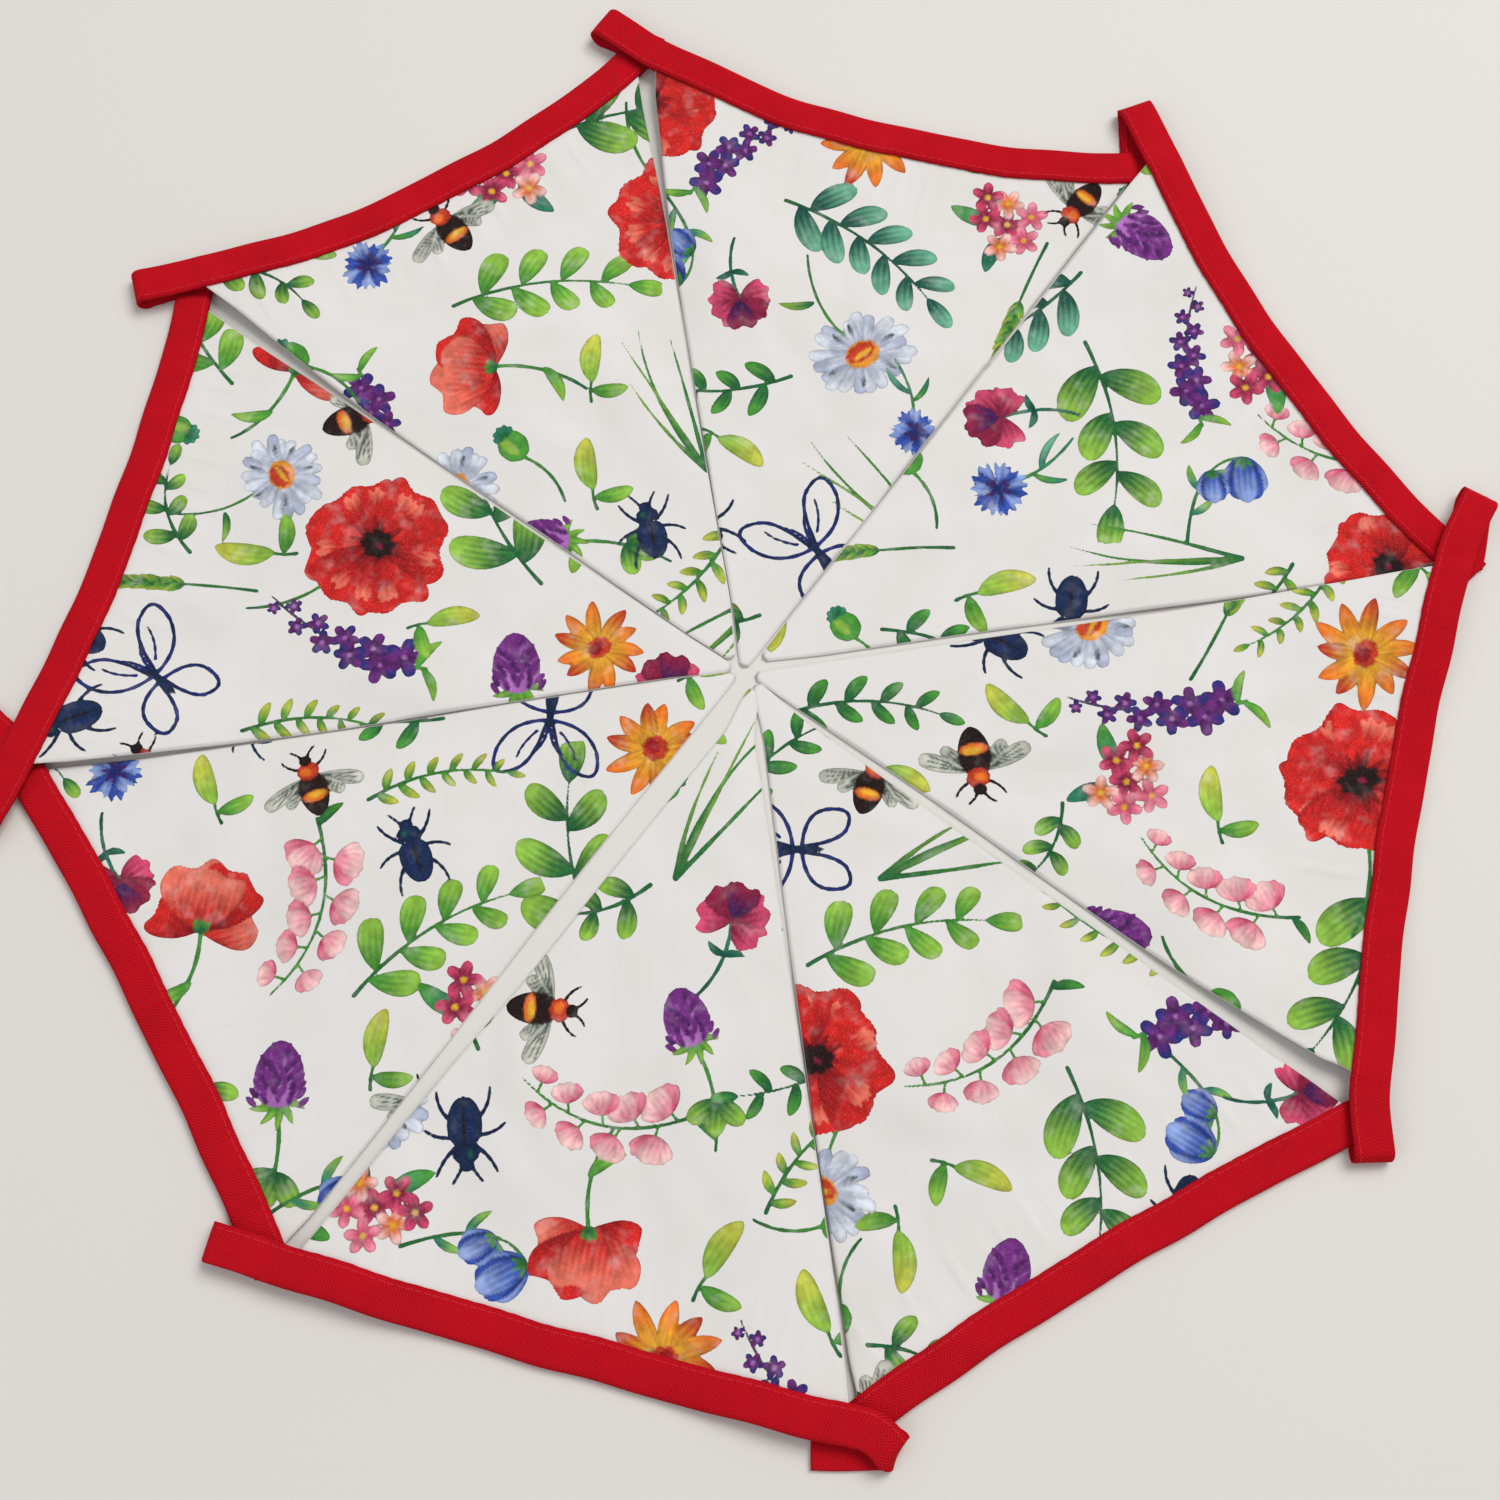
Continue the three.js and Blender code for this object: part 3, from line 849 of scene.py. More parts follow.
def grass(brush: Brush) -> None:
    """Paint four long blades from one foot.

    Args:
        brush: The motif's brush.
    """
    for bend, end, inks in (
        ((0, 8), (30, 3), TWIG),
        ((-4, -6), (24, -7), TWIG),
        ((-6, 2), (27, 10), SHADED_LEAF),
        ((-14, 6), (10, 12), SHADED_LEAF),
    ):
        brush.line(Curve((-30, -4), bend, end), 1.9, inks, 0.75)


def green_ear(brush: Brush) -> None:
    """Paint a green ear: two rows of narrow scales along a bent stem.

    Args:
        brush: The motif's brush.
    """
    stem = Curve((-34, -8), (-4, -5), (30, 5))
    brush.line(stem, 1.2, TWIG, 0.3)
    for k in range(15):
        share = 0.42 + 0.04 * k
        for side in (-1, 1):
            inks = SHADED_LEAF if (k + (side > 0)) % 2 else (Ink.LEAF, Ink.STRAW)
            brush.sprout(stem, share, side * (24 + brush.jitter(6)), 6.6, 2.3, inks, (0.5, 0.8))


def leaf_pair(brush: Brush) -> None:
    """Paint two soft yellow-green leaves on a short twig.

    Args:
        brush: The motif's brush.
    """
    brush.line(Curve((-12, -2), (-6, 1), (0, 0)), 1.2, TWIG, 0.3)
    brush.petal((-5, 0), 12, 19, 7.5, (Ink.LEAF_LIGHT, Ink.STRAW), EVEN, 0.08, 0.0, 0.2)
    brush.petal((-8, -1), -70, 13, 5.5, YOUNG_LEAF, EVEN, -0.06, 0.0, 0.2)


def seed_pod(brush: Brush) -> None:
    """Paint a round green pod with a scalloped cap on a thin bent stem.

    Args:
        brush: The motif's brush.
    """
    brush.line(Curve((0, -5), (5, -16), (0, -27)), 1.2, STEM, 0.1)
    brush.oval((0, 0), 0, (5.2, 5.8), Ink.LEAF, 0.03)
    brush.oval((-1.2, 0.6), 10, (1.8, 4.0), Ink.LEAF_LIGHT, 0.05)
    for k in range(5):
        brush.petal((0, 4.5), 18 + 36 * k, 4.2, 2.4, (Ink.LEAF_DARK, Ink.SEA), (0.5, 0.4))


def bee(brush: Brush) -> None:
    """Paint a bumble bee from above, with two pairs of veined wings and six legs.

    Args:
        brush: The motif's brush.
    """
    black, wing = (Ink.SOOT, Ink.SOOT), (Ink.WING, Ink.WING)
    for side in (-1, 1):
        for foot, far in (((5, 2), (10, 8)), ((1, 3), (1, 9)), ((-3, 3), (-6, 9))):
            middle = (foot[0] * 1.3, side * (foot[1] + 4.4))
            start = (foot[0], side * foot[1])
            brush.line(Curve(start, middle, (far[0], side * far[1])), 1.1, black, 0.3)
        root = (2, side * 2)
        for angle, length, width in ((112, 17, 5.6), (138, 12, 4.4)):
            brush.petal(root, side * angle, length, width, wing, (0.8, 0.35), 0.0, 0.0, 0.1, 0.5)
            for lean in (-7, 0, 7):
                heading = math.radians(side * (angle + lean))
                run = (length * 0.86 * math.cos(heading), length * 0.86 * math.sin(heading))
                far = (root[0] + run[0], root[1] + run[1])
                middle = ((root[0] + far[0]) / 2, side + far[1] / 2)
                brush.line(Curve(root, middle, far), 0.85, (Ink.WING_DARK, Ink.WING_DARK), 0.5)
        brush.line(Curve((8.5, side), (11, side * 1.6), (12.5, side * 4.4)), 1.0, black, 0.2)
    brush.petal((3.2, 0), 180, 16, 10.5, black, (0.35, 0.55))
    brush.oval((-5.2, 0), 0, (2.0, 4.5), Ink.ORANGE, 0.06)
    brush.oval((-4.7, -0.6), 0, (1.2, 3.2), Ink.AMBER, 0.1)
    brush.oval((4.2, 0), 0, (3.3, 3.7), Ink.RUST, 0.08)
    brush.oval((4.0, 0.8), 0, (1.6, 2.0), Ink.ORANGE, 0.2)
    brush.oval((8.0, 0), 0, (1.9, 2.2), Ink.SOOT)


def beetle(brush: Brush) -> None:
    """Paint a dark blue beetle from above, with six bent legs and a glint on its wing cases.

    Args:
        brush: The motif's brush.
    """
    navy = (Ink.NAVY, Ink.NAVY)
    for side in (-1, 1):
        for leg in (
            ((3, 3), (6, 7), (11, 9)),
            ((0, 4), (0, 9), (-3, 12)),
            ((-4, 3), (-8, 8), (-14, 8)),
        ):
            brush.line(Curve(*((x, side * y) for x, y in leg)), 1.3, navy, 0.3)
        brush.line(Curve((8, side), (11, side * 2.5), (13.5, side * 4.5)), 1.1, navy, 0.2)
    brush.petal((2.6, 0), 180, 14.5, 10.6, navy, (0.3, 0.45))
    brush.oval((-3.4, 2.2), 4, (4.6, 0.5), Ink.DEEP_BLUE)
    brush.oval((-3.6, -0.2), 0, (5.6, 0.42), Ink.SOOT)
    brush.oval((5.2, 0), 0, (2.8, 4.0), Ink.NAVY, 0.04)
    brush.oval((5.4, 1.4), 0, (1.2, 1.0), Ink.SEA_DARK, 0.2)
    brush.oval((8.4, 0), 0, (1.9, 2.3), Ink.NAVY)


def outline_moth(brush: Brush) -> None:
    """Paint a moth as loose navy lines: two round wings a side, a thin body and feelers.

    Args:
        brush: The motif's brush.
    """
    navy = (Ink.INDIGO, Ink.NAVY)
    for side in (-1, 1):
        for path in (
            ((2, 1), (3, 13), (13, 17)),
            ((13, 17), (25, 20), (20, 10)),
            ((20, 10), (17, 4), (2, 1)),
            ((-1, 1), (-2, 12), (-9, 13)),
            ((-9, 13), (-19, 14), (-15, 6)),
            ((-15, 6), (-12, 2), (-1, 1)),
        ):
            brush.line(Curve(*((x, side * y) for x, y in path)), 1.35, navy, 0.1)
        brush.line(Curve((5, 0.5 * side), (11, side), (14, 5 * side)), 1.1, navy, 0.2)
        brush.line(Curve((6, 4 * side), (11, 9 * side), (16, 10 * side)), 1.0, navy, 0.2)
    brush.oval((-1, 0), 0, (7.0, 1.3), Ink.NAVY)


@dataclass(frozen=True)
class Motif:
    """A kind of motif: how it is painted, half its length and half its width."""

    paint: Callable[[Brush], None]
    half_length: float
    half_width: float
    upright: bool = False
    margin: float = 10.0

    @property
    def reach(self) -> float:
        """Return the radius round its middle within which a motif paints."""
        return self.half_length + self.margin

    def room(self, place: Array, angle: float, size: float) -> tuple[Array, float]:
        """Return the middles of the circles that the motif fills, and their radius.

        Args:
            place: The motif's middle.
            angle: Its turn, in radians.
            size: Its scale.

        Returns:
            The circles' middles, one a row, and their radius.
        """
        radius = self.half_width * size
        span = max(0.0, self.half_length * size - radius)
        count = max(1, math.ceil(span / radius) + 1)
        turn = angle + (math.pi / 2.0 if self.upright else 0.0)
        along = np.linspace(-span, span, count)[:, None]
        return place + along * np.array([math.cos(turn), math.sin(turn)]), radius


LARGE = (
    Motif(poppy, 24, 22, margin=34.0),
    Motif(daisy, 15, 14, margin=30.0),
    Motif(blossom_spray, 32, 12),
    Motif(side_poppy, 28, 14, upright=True, margin=16.0),
    Motif(star_flower, 16, 15),
    Motif(LeafSpray(5, 19, 8.5, (Ink.SEA_DARK, Ink.SEA_LIGHT), FULL), 34, 13),
    Motif(clover, 22, 10, upright=True, margin=24.0),
    Motif(violet_spike, 30, 8),
    Motif(LeafSpray(4, 18, 9.5, YOUNG_LEAF, (0.8, 0.4)), 32, 13),
    Motif(bellflower, 18, 15),
    Motif(LeafSpray(3, 24, 12.5, SHADED_LEAF, FULL, 42.0), 34, 16),
    Motif(pink_cluster, 15, 12),
)
SMALL = (
    Motif(bee, 11, 10),
    Motif(cornflower, 18, 9, upright=True, margin=16.0),
    Motif(outline_moth, 18, 16),
    Motif(wine_flower, 20, 9, upright=True),
    Motif(green_ear, 34, 7),
    Motif(beetle, 12, 10),
    Motif(leaf_pair, 12, 9),
    Motif(LeafSpray(4, 13, 5.6, TWIG, EVEN, 50.0, 26.0), 26, 9),
    Motif(grass, 30, 8),
    Motif(seed_pod, 15, 6, upright=True, margin=16.0),
    Motif(LeafSpray(6, 9, 3.6, (Ink.LEAF, Ink.STRAW), (0.6, 0.7), 55.0, 24.0), 26, 8),
    Motif(LeafSpray(3, 12, 6.4, SHADED_LEAF, FULL, 52.0, 17.0), 20, 10),
    Motif(leaf_pair, 12, 9),
)


@dataclass(frozen=True)
class FlowerPrint:
    """A scattered print of wildflowers and insects, in another order on each face of each flag.

    Motifs may hang over a face's sides, keep a gap, and differ a little in size.
    """

    seed: int
    tries: int = 160
    overhang: float = 9.0
    gap: float = 3.0
    large: int = 8
    small_rounds: int = 2
    sizes: Pair = (0.92, 1.08)
    stroke_seeds: int = 97

    def scatter(self, chance: np.random.Generator) -> list[tuple[Motif, Array, float, float]]:
        """Place motifs over one face, each where it has the most room of many places tried.

        Args:
            chance: The source of the places tried.

        Returns:
            Each motif with its place, its angle and its size.
        """
        placed: list[tuple[Motif, Array, float, float]] = []
        middles = np.zeros((0, 2))
        radii = np.zeros(0)
        order = chance.permutation(len(LARGE))
        deck = [LARGE[k] for k in order[: self.large]]
        for _ in range(self.small_rounds):
            deck.extend(SMALL[k] for k in chance.permutation(len(SMALL)))
        for motif in deck:
            size = float(chance.uniform(*self.sizes))
            best: tuple[float, Array, float] | None = None
            for _ in range(self.tries):
                y = CUT.depth * math.sqrt(chance.uniform(0.0, 1.0)) + chance.uniform(0.0, self.overhang)
                half = float(CUT.half_width_at(np.array(min(y, CUT.depth)))) + self.overhang
                place = np.array([chance.uniform(-half, half), y])
                angle = float(chance.uniform(-math.pi, math.pi))
                spots, radius = motif.room(place, angle, size)
                if not len(radii):
                    best = (0.0, place, angle)
                    break
                gaps = np.linalg.norm(spots[:, None] - middles, axis=2) - (radius + radii)
                gap = float(gaps.min())
                if gap > self.gap and (best is None or gap < best[0]):
                    best = (gap, place, angle)
            if best is None:
                continue
            _, place, angle = best
            spots, radius = motif.room(place, angle, size)
            middles = np.concatenate([middles, spots])
            radii = np.concatenate([radii, np.full(len(spots), radius)])
            placed.append((motif, place, angle, size))
        return placed

    def paint(self, x: Array, y: Array) -> tuple[Array, Array]:
        """Paint one face.

        Args:
            x: The places of the face's points across the flag.
            y: Their distances from its tip.

        Returns:
            The ink at each point, and how far it lies inside the ink's edge.
        """
        chance = np.random.default_rng(self.seed)
        canvas = Canvas(x, y)
        for number, (motif, place, angle, size) in enumerate(self.scatter(chance)):
            seed = self.seed * self.stroke_seeds + number
            brush = Brush.on(canvas, place, angle, size, motif.reach, seed)
            if len(brush.index):
                motif.paint(brush)
        return canvas.colour, canvas.depth


@dataclass(frozen=True)
class Swell:
    """A soft swell of the cloth off the table, at x and y in its flag, with its half sizes."""

    x: float
    y: float
    across: float
    along: float
    height: float

    def height_at(self, x: Array, y: Array) -> Array:
        """Return the height of a round bump with a flat foot: (1 - r squared) squared."""
        r2 = ((x - self.x) / self.across) ** 2 + ((y - self.y) / self.along) ** 2
        return self.height * np.clip(1.0 - r2, 0.0, None) ** 2


@dataclass(frozen=True)
class FlagLie:
    """How one flag lies. Its own x runs clockwise along its top, and y from its tip to its top."""

    name: str
    tip: Pair
    heading: float
    bow: float
    first: TapeEnd
    last: TapeEnd
    swells: tuple[Swell, ...] = ()
    lean: float = 0.0
    first_side: tuple[float, ...] = (0.0, 0.0)
    last_side: tuple[float, ...] = (0.0, 0.0)

    def tape_lift(self, x: Array) -> Array:
        """Return how far the tape stands off the table, from its ends that lie over others.

        Args:
            x: Places along the flag's top.

        Returns:
            The lift at each.
        """
        first = 1.0 - smoothstep(CUT.half_width + x, TAPE.hold, TAPE.ease)
        last = 1.0 - smoothstep(CUT.half_width - x, TAPE.hold, TAPE.ease)
        first = first * (self.first is TapeEnd.OVER)
        last = last * (self.last is TapeEnd.OVER)
        return TAPE.over_rise * np.maximum(first, last)

    def cloth_height(self, x: Array, y: Array) -> Array:
        """Return the height of the cloth's underside: inside the tape, lifted with it, or swelled.

        Args:
            x: Places across the flag.
            y: Distances from its tip.

        Returns:
            The height at each.
        """
        inside = TAPE.inside_rise * smoothstep(y, CUT.hem_start, CUT.depth)
        lifted = self.tape_lift(x) * smoothstep(y, CUT.rise_start, CUT.rise_done)
        swelled = sum(each.height_at(x, y) for each in self.swells)
        return inside + lifted + swelled * (1.0 - smoothstep(y, CUT.swell_fade, CUT.rise_done))

    def plan(self, x: Array, y: Array) -> tuple[Array, Array]:
        """Lay points of the cut flag out flat with the top edge bowed.

        The cloth is pushed toward the tip by the bow, which is full in the middle of the top
        and nothing at the sides. Past the top edge, y runs square to that edge.

        Args:
            x: Places across the flag.
            y: Distances from its tip.

        Returns:
            The x and y of the points in the flag's plane.
        """
        share = np.abs(x / np.maximum(CUT.half_width_at(y), TINY))
        bow = self.bow * (1.0 - share**CUT.bow_power) * smoothstep(y, CUT.bow_start, CUT.depth)
        steepness = np.sign(x) * np.abs(x / CUT.half_width) ** (CUT.bow_power - 1.0)
        slope = CUT.bow_power * self.bow * steepness / CUT.half_width
        size = np.hypot(slope, 1.0)
        past = np.maximum(0.0, y - CUT.depth)
        return x - past * slope / size, np.minimum(y, CUT.depth) - bow + past / size

    def eased(self, x: Array, y: Array) -> Array:
        """Return the places across the flag once its soft sides have eased out or in.

        Each side follows a smooth line, which is held near the tip and keeps inside the tape.
        The cloth between follows both sides in proportion. At the tip only their mean shift is
        left, so that the tip stays closed.

        Args:
            x: Places across the flag.
            y: Distances from its tip.

        Returns:
            The new places across the flag.
        """
        half = np.maximum(CUT.half_width_at(y), TINY)
        share = np.clip(x / half, -1.0, 1.0)
        open_tip = smoothstep(y, 0.0, CUT.side_start)
        sides = []
        for levels in (self.first_side, self.last_side):
            out = smooth_through(y, CUT.side_start, CUT.side_end, levels)
            sides.append(out - np.maximum(out, 0.0) * smoothstep(y, CUT.side_end, CUT.depth))
        first, last = sides
        shift, wider = (last - first) / 2.0, (last + first) / 2.0
        return x + shift + wider * share * open_tip

    def in_wheel(self, x: Array, y: Array, z: Array) -> Array:
        """Return points of the flag's plane as rows of x, y and z in the wheel.

        Args:
            x: Places across the flag.
            y: Distances from its tip.
            z: Heights.

        Returns:
            The points, one a row.
        """
        heading = math.radians(self.heading)
        cos, sin = math.cos(heading), math.sin(heading)
        return np.stack([self.tip[0] + cos * y + sin * x, self.tip[1] + sin * y - cos * x, z], axis=1)

    def tape_middle(self, x: Array) -> tuple[Array, Array]:
        """Return the tape's middle line over the flag at x, and its clockwise directions.

        Args:
            x: Places along the flag's top.

        Returns:
            The middles and the directions, one a row.
        """
        z = self.tape_lift(x) + TAPE.over_cloth / 2.0
        middle = self.in_wheel(*self.plan(x, np.full_like(x, CUT.depth + TAPE.width / 2.0)), z)
        inner = self.in_wheel(*self.plan(x, np.full_like(x, CUT.depth)), z)
        out = (middle - inner) / (TAPE.width / 2.0)
        return middle, np.stack([out[:, 1], -out[:, 0], np.zeros_like(x)], axis=1)


@dataclass(frozen=True)
class Creases:
    """The cloth's shallow creases: heights, wavelengths, and where along y they come and go."""

    rest: float = 0.6
    broad: float = 0.21
    streak: float = 0.36
    pucker: float = 0.16
    pucker_rest: float = 0.2
    broad_waves: Waves = (47.0, 31.0, 19.0)
    cross_waves: Waves = (61.0, 37.0, 23.0)
    fading_waves: Waves = (83.0, 47.0, 29.0)
    streak_waves: Waves = (43.0, 28.0, 19.0)
    pucker_waves: Waves = (8.9, 5.7, 13.3)
    sway: float = 3.0
    sway_length: float = 27.0
    start: Pair = (6.0, 34.0)
    pucker_start: Pair = (180.0, 200.0)
    pucker_end: Pair = (203.0, 211.0)

    def height_at(self, x: Array, y: Array, seed: float, lean: float) -> Array:
        """Return the creases' height at these places, never below nothing.

        Broad waves cross each other. Finer streaks run along the flag, leaning aside, and come
        and go along it. Small puckers stand where the tape gathers the cloth.

        Args:
            x: Places across the flag.
            y: Distances from its tip.
            seed: Sets the waves' phases.
            lean: The streaks' angle from the flag's middle line, in radians.

        Returns:
            The height at each place.
        """
        across = x * math.cos(lean) + y * math.sin(lean)
        along = y * math.cos(lean) - x * math.sin(lean)
        broad = ripple(x + 0.5 * y, self.broad_waves, seed) * ripple(y, self.cross_waves, -seed)
        fading = 0.5 + 0.5 * np.tanh(1.2 * ripple(along, self.fading_waves, seed + 1.0))
        swaying = across + self.sway * np.sin(along / self.sway_length)
        streaks = ripple(swaying, self.streak_waves, seed + 2.0) * fading
        loose = smoothstep(y, *self.start) * (1.0 - smoothstep(y, CUT.swell_fade, CUT.rise_done))
        gathered = smoothstep(y, *self.pucker_start) * (1.0 - smoothstep(y, *self.pucker_end))
        soft = np.maximum(self.rest + self.broad * broad + self.streak * streaks, 0.0)
        puckers = np.maximum(self.pucker_rest + ripple(x, self.pucker_waves, seed + 3.0), 0.0)
        return soft * loose + puckers * self.pucker * gathered


@dataclass(frozen=True)
class Lattice:
    """A flag's grid: rows of 1, 2, 3 and so on from its tip, then rows inside the tape."""

    rows: int
    hem_rows: int

    def places(self) -> tuple[Array, Array]:
        """Work out the points of the cut flag.

        Returns:
            Their places across the flag, and their distances from its tip.
        """
        row = np.repeat(np.arange(self.rows + 1), np.arange(1, self.rows + 2))
        place = np.arange(len(row)) - row * (row + 1) // 2
        y = row * (CUT.depth / self.rows)
        x = (2.0 * place / np.maximum(row, 1) - (row > 0)) * CUT.half_width_at(y)
        hem_row = np.repeat(np.arange(1, self.hem_rows + 1), self.rows + 1)
        hem_x = np.tile(np.linspace(-CUT.half_width, CUT.half_width, self.rows + 1), self.hem_rows)
        hem_y = CUT.depth + CUT.hem * hem_row / self.hem_rows
        return np.concatenate([x, hem_x]), np.concatenate([y, hem_y])

    def faces(self) -> list[Numbers]:
        """Work out the faces, which face up.

        Returns:
            The wide and the narrow triangles of the rows, and the hem's squares.
        """
        row = np.repeat(np.arange(self.rows), np.arange(1, self.rows + 1))
        place = np.arange(len(row)) - row * (row + 1) // 2
        here = row * (row + 1) // 2 + place
        below = (row + 1) * (row + 2) // 2 + place
        wide = np.stack([here, below + 1, below], axis=1)
        narrow = np.stack([here, here + 1, below + 1], axis=1)[place < row]
        starts = self.rows * (self.rows + 1) // 2 + np.arange(self.hem_rows) * (self.rows + 1)
        line = (starts[:, None] + np.arange(self.rows)).ravel()
        hem = np.stack([line, line + 1, line + self.rows + 2, line + self.rows + 1], axis=1)
        return [wide, narrow, hem]

    def rim(self) -> Numbers:
        """Walk the rim: up its first side, across its top and down its last side.

        Returns:
            The numbers of the rim's points, in order.
        """
        row = np.arange(self.rows + 1)
        hem_start = (self.rows + 1) * (self.rows + 2) // 2 + np.arange(self.hem_rows) * (self.rows + 1)
        first = np.concatenate([row * (row + 1) // 2, hem_start])
        top = hem_start[-1] + np.arange(1, self.rows + 1)
        last_hem = hem_start[:-1][::-1] + self.rows
        last = (row * (row + 3) // 2)[:0:-1]
        return np.concatenate([first, top, last_hem, last])


@dataclass
class PrintedFlag:
    """One flag: two layers of printed cotton, turned and pressed, as one closed sheet.

    Its upper grid has twice the rows of its lower one, along its length and in its hem.
    """

    lie: FlagLie
    front: FlowerPrint
    back: FlowerPrint
    creases: Creases = Creases()
    rows: int = 144
    under: float = 0.1
    thickness: float = 0.85
    edge_height: float = 0.3
    edge_round: float = 0.9

    def edge_distance(self, x: Array, y: Array) -> Array:
        """Return how far each point lies inside the flag's side edges and tip."""
        lean = math.atan2(CUT.half_width, CUT.depth + CUT.tip_back)
        return np.minimum((CUT.half_width_at(y) - np.abs(x)) * math.cos(lean), y)

    def heights(self, x: Array, y: Array) -> tuple[Array, Array]:
        """Return the cloth's lower and upper heights, drawn together in a round at its edges.

        Args:
            x: Places across the flag.
            y: Distances from its tip.

        Returns:
            The lower and the upper heights.
        """
        near = np.clip(self.edge_distance(x, y) / self.edge_round, 0.0, 1.0)
        full = np.sqrt(1.0 - (1.0 - near) ** 2)
        base = self.lie.cloth_height(x, y) + self.under
        seed, lean = math.radians(self.lie.heading), math.radians(self.lie.lean)
        relief = self.creases.height_at(x, y, seed, lean) * smoothstep(near, 0.0, 1.0)
        middle = (self.thickness - self.edge_height) / 2.0
        lower = base + middle * (1.0 - full)
        upper = base + self.thickness - middle * (1.0 - full)
        return lower + relief, upper + relief

    def build(self) -> bpy.types.Object:
        """Make the sheet: a fine upper grid, a lower one half as fine, and a strip between rims.

        Returns:
            The flag's object, which stands for the frame's own flag.
        """
        fine, coarse = Lattice(2 * self.rows, 2), Lattice(self.rows, 1)
        x, y = fine.places()
        low_x, low_y = coarse.places()
        flat_top = self.lie.plan(self.lie.eased(x, y), y)
        flat_low = self.lie.plan(self.lie.eased(low_x, low_y), low_y)
        upper = self.lie.in_wheel(*flat_top, self.heights(x, y)[1])
        lower = self.lie.in_wheel(*flat_low, self.heights(low_x, low_y)[0])
        low_faces = [each[:, ::-1] + len(x) for each in coarse.faces()]
        rim, low_rim = fine.rim(), coarse.rim() + len(x)
        even, odd, after = rim[0::2], rim[1::2], np.roll(rim[0::2], -1)
        low_after = np.roll(low_rim, -1)
        strip = [
            np.stack([even, odd, low_rim], axis=1),
            np.stack([odd, low_after, low_rim], axis=1),
            np.stack([odd, after, low_after], axis=1),
        ]
        points = np.concatenate([upper, lower])
        made = mesh_object(self.lie.name + "_cotton", points, fine.faces() + low_faces + strip)
        all_x, all_y = np.concatenate([x, low_x]), np.concatenate([y, low_y])
        add_uv(made.data, *(np.concatenate(each) for each in zip(flat_top, flat_low)))
        faces = (self.front.paint(*flat_top), self.back.paint(*flat_low))
        ink, depth = (np.concatenate(each) for each in zip(*faces))
        add_values(made.data, "ink", np.column_stack([ink, np.ones(len(ink))]))
        add_values(made.data, "ink_depth", depth)
        add_values(made.data, "edge", self.edge_distance(all_x, all_y))
        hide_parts(self.lie.name)
        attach(made, "root")
        return made


@dataclass(frozen=True)
class Loop:
    """A flattened loop of tape past a corner.

    reach is its length past the corner, turn bends it outward in degrees, lift is the height
    of its upper layer's middle at the far end, back is the lower layer's length, fan swings that
    layer outward in degrees from the line back to the corner, and run is how far the
    neighbour's tape goes on beneath it.
    """

    reach: float
    turn: float
    lift: float
    back: float
    fan: float
    run: float


@dataclass(frozen=True)
class Tail:
    """A free end of the tape, with its length and the degrees that it turns outward."""

    length: float
    turn: float


@dataclass
class TapeRows:
    """Rows of the folded tape: middles, directions toward the fold and up, and thickness."""

    middle: Array
    outward: Array
    up: Array
    thickness: Array

    def backward(self) -> TapeRows:
        """Return the same rows in the other order."""
        return TapeRows(self.middle[::-1], self.outward[::-1], self.up[::-1], self.thickness[::-1])

    @staticmethod
    def joined(parts: list[TapeRows]) -> TapeRows:
        """Return these stretches as one, in order."""
        names = ("middle", "outward", "up", "thickness")
        return TapeRows(*(np.concatenate([getattr(each, name) for each in parts]) for name in names))


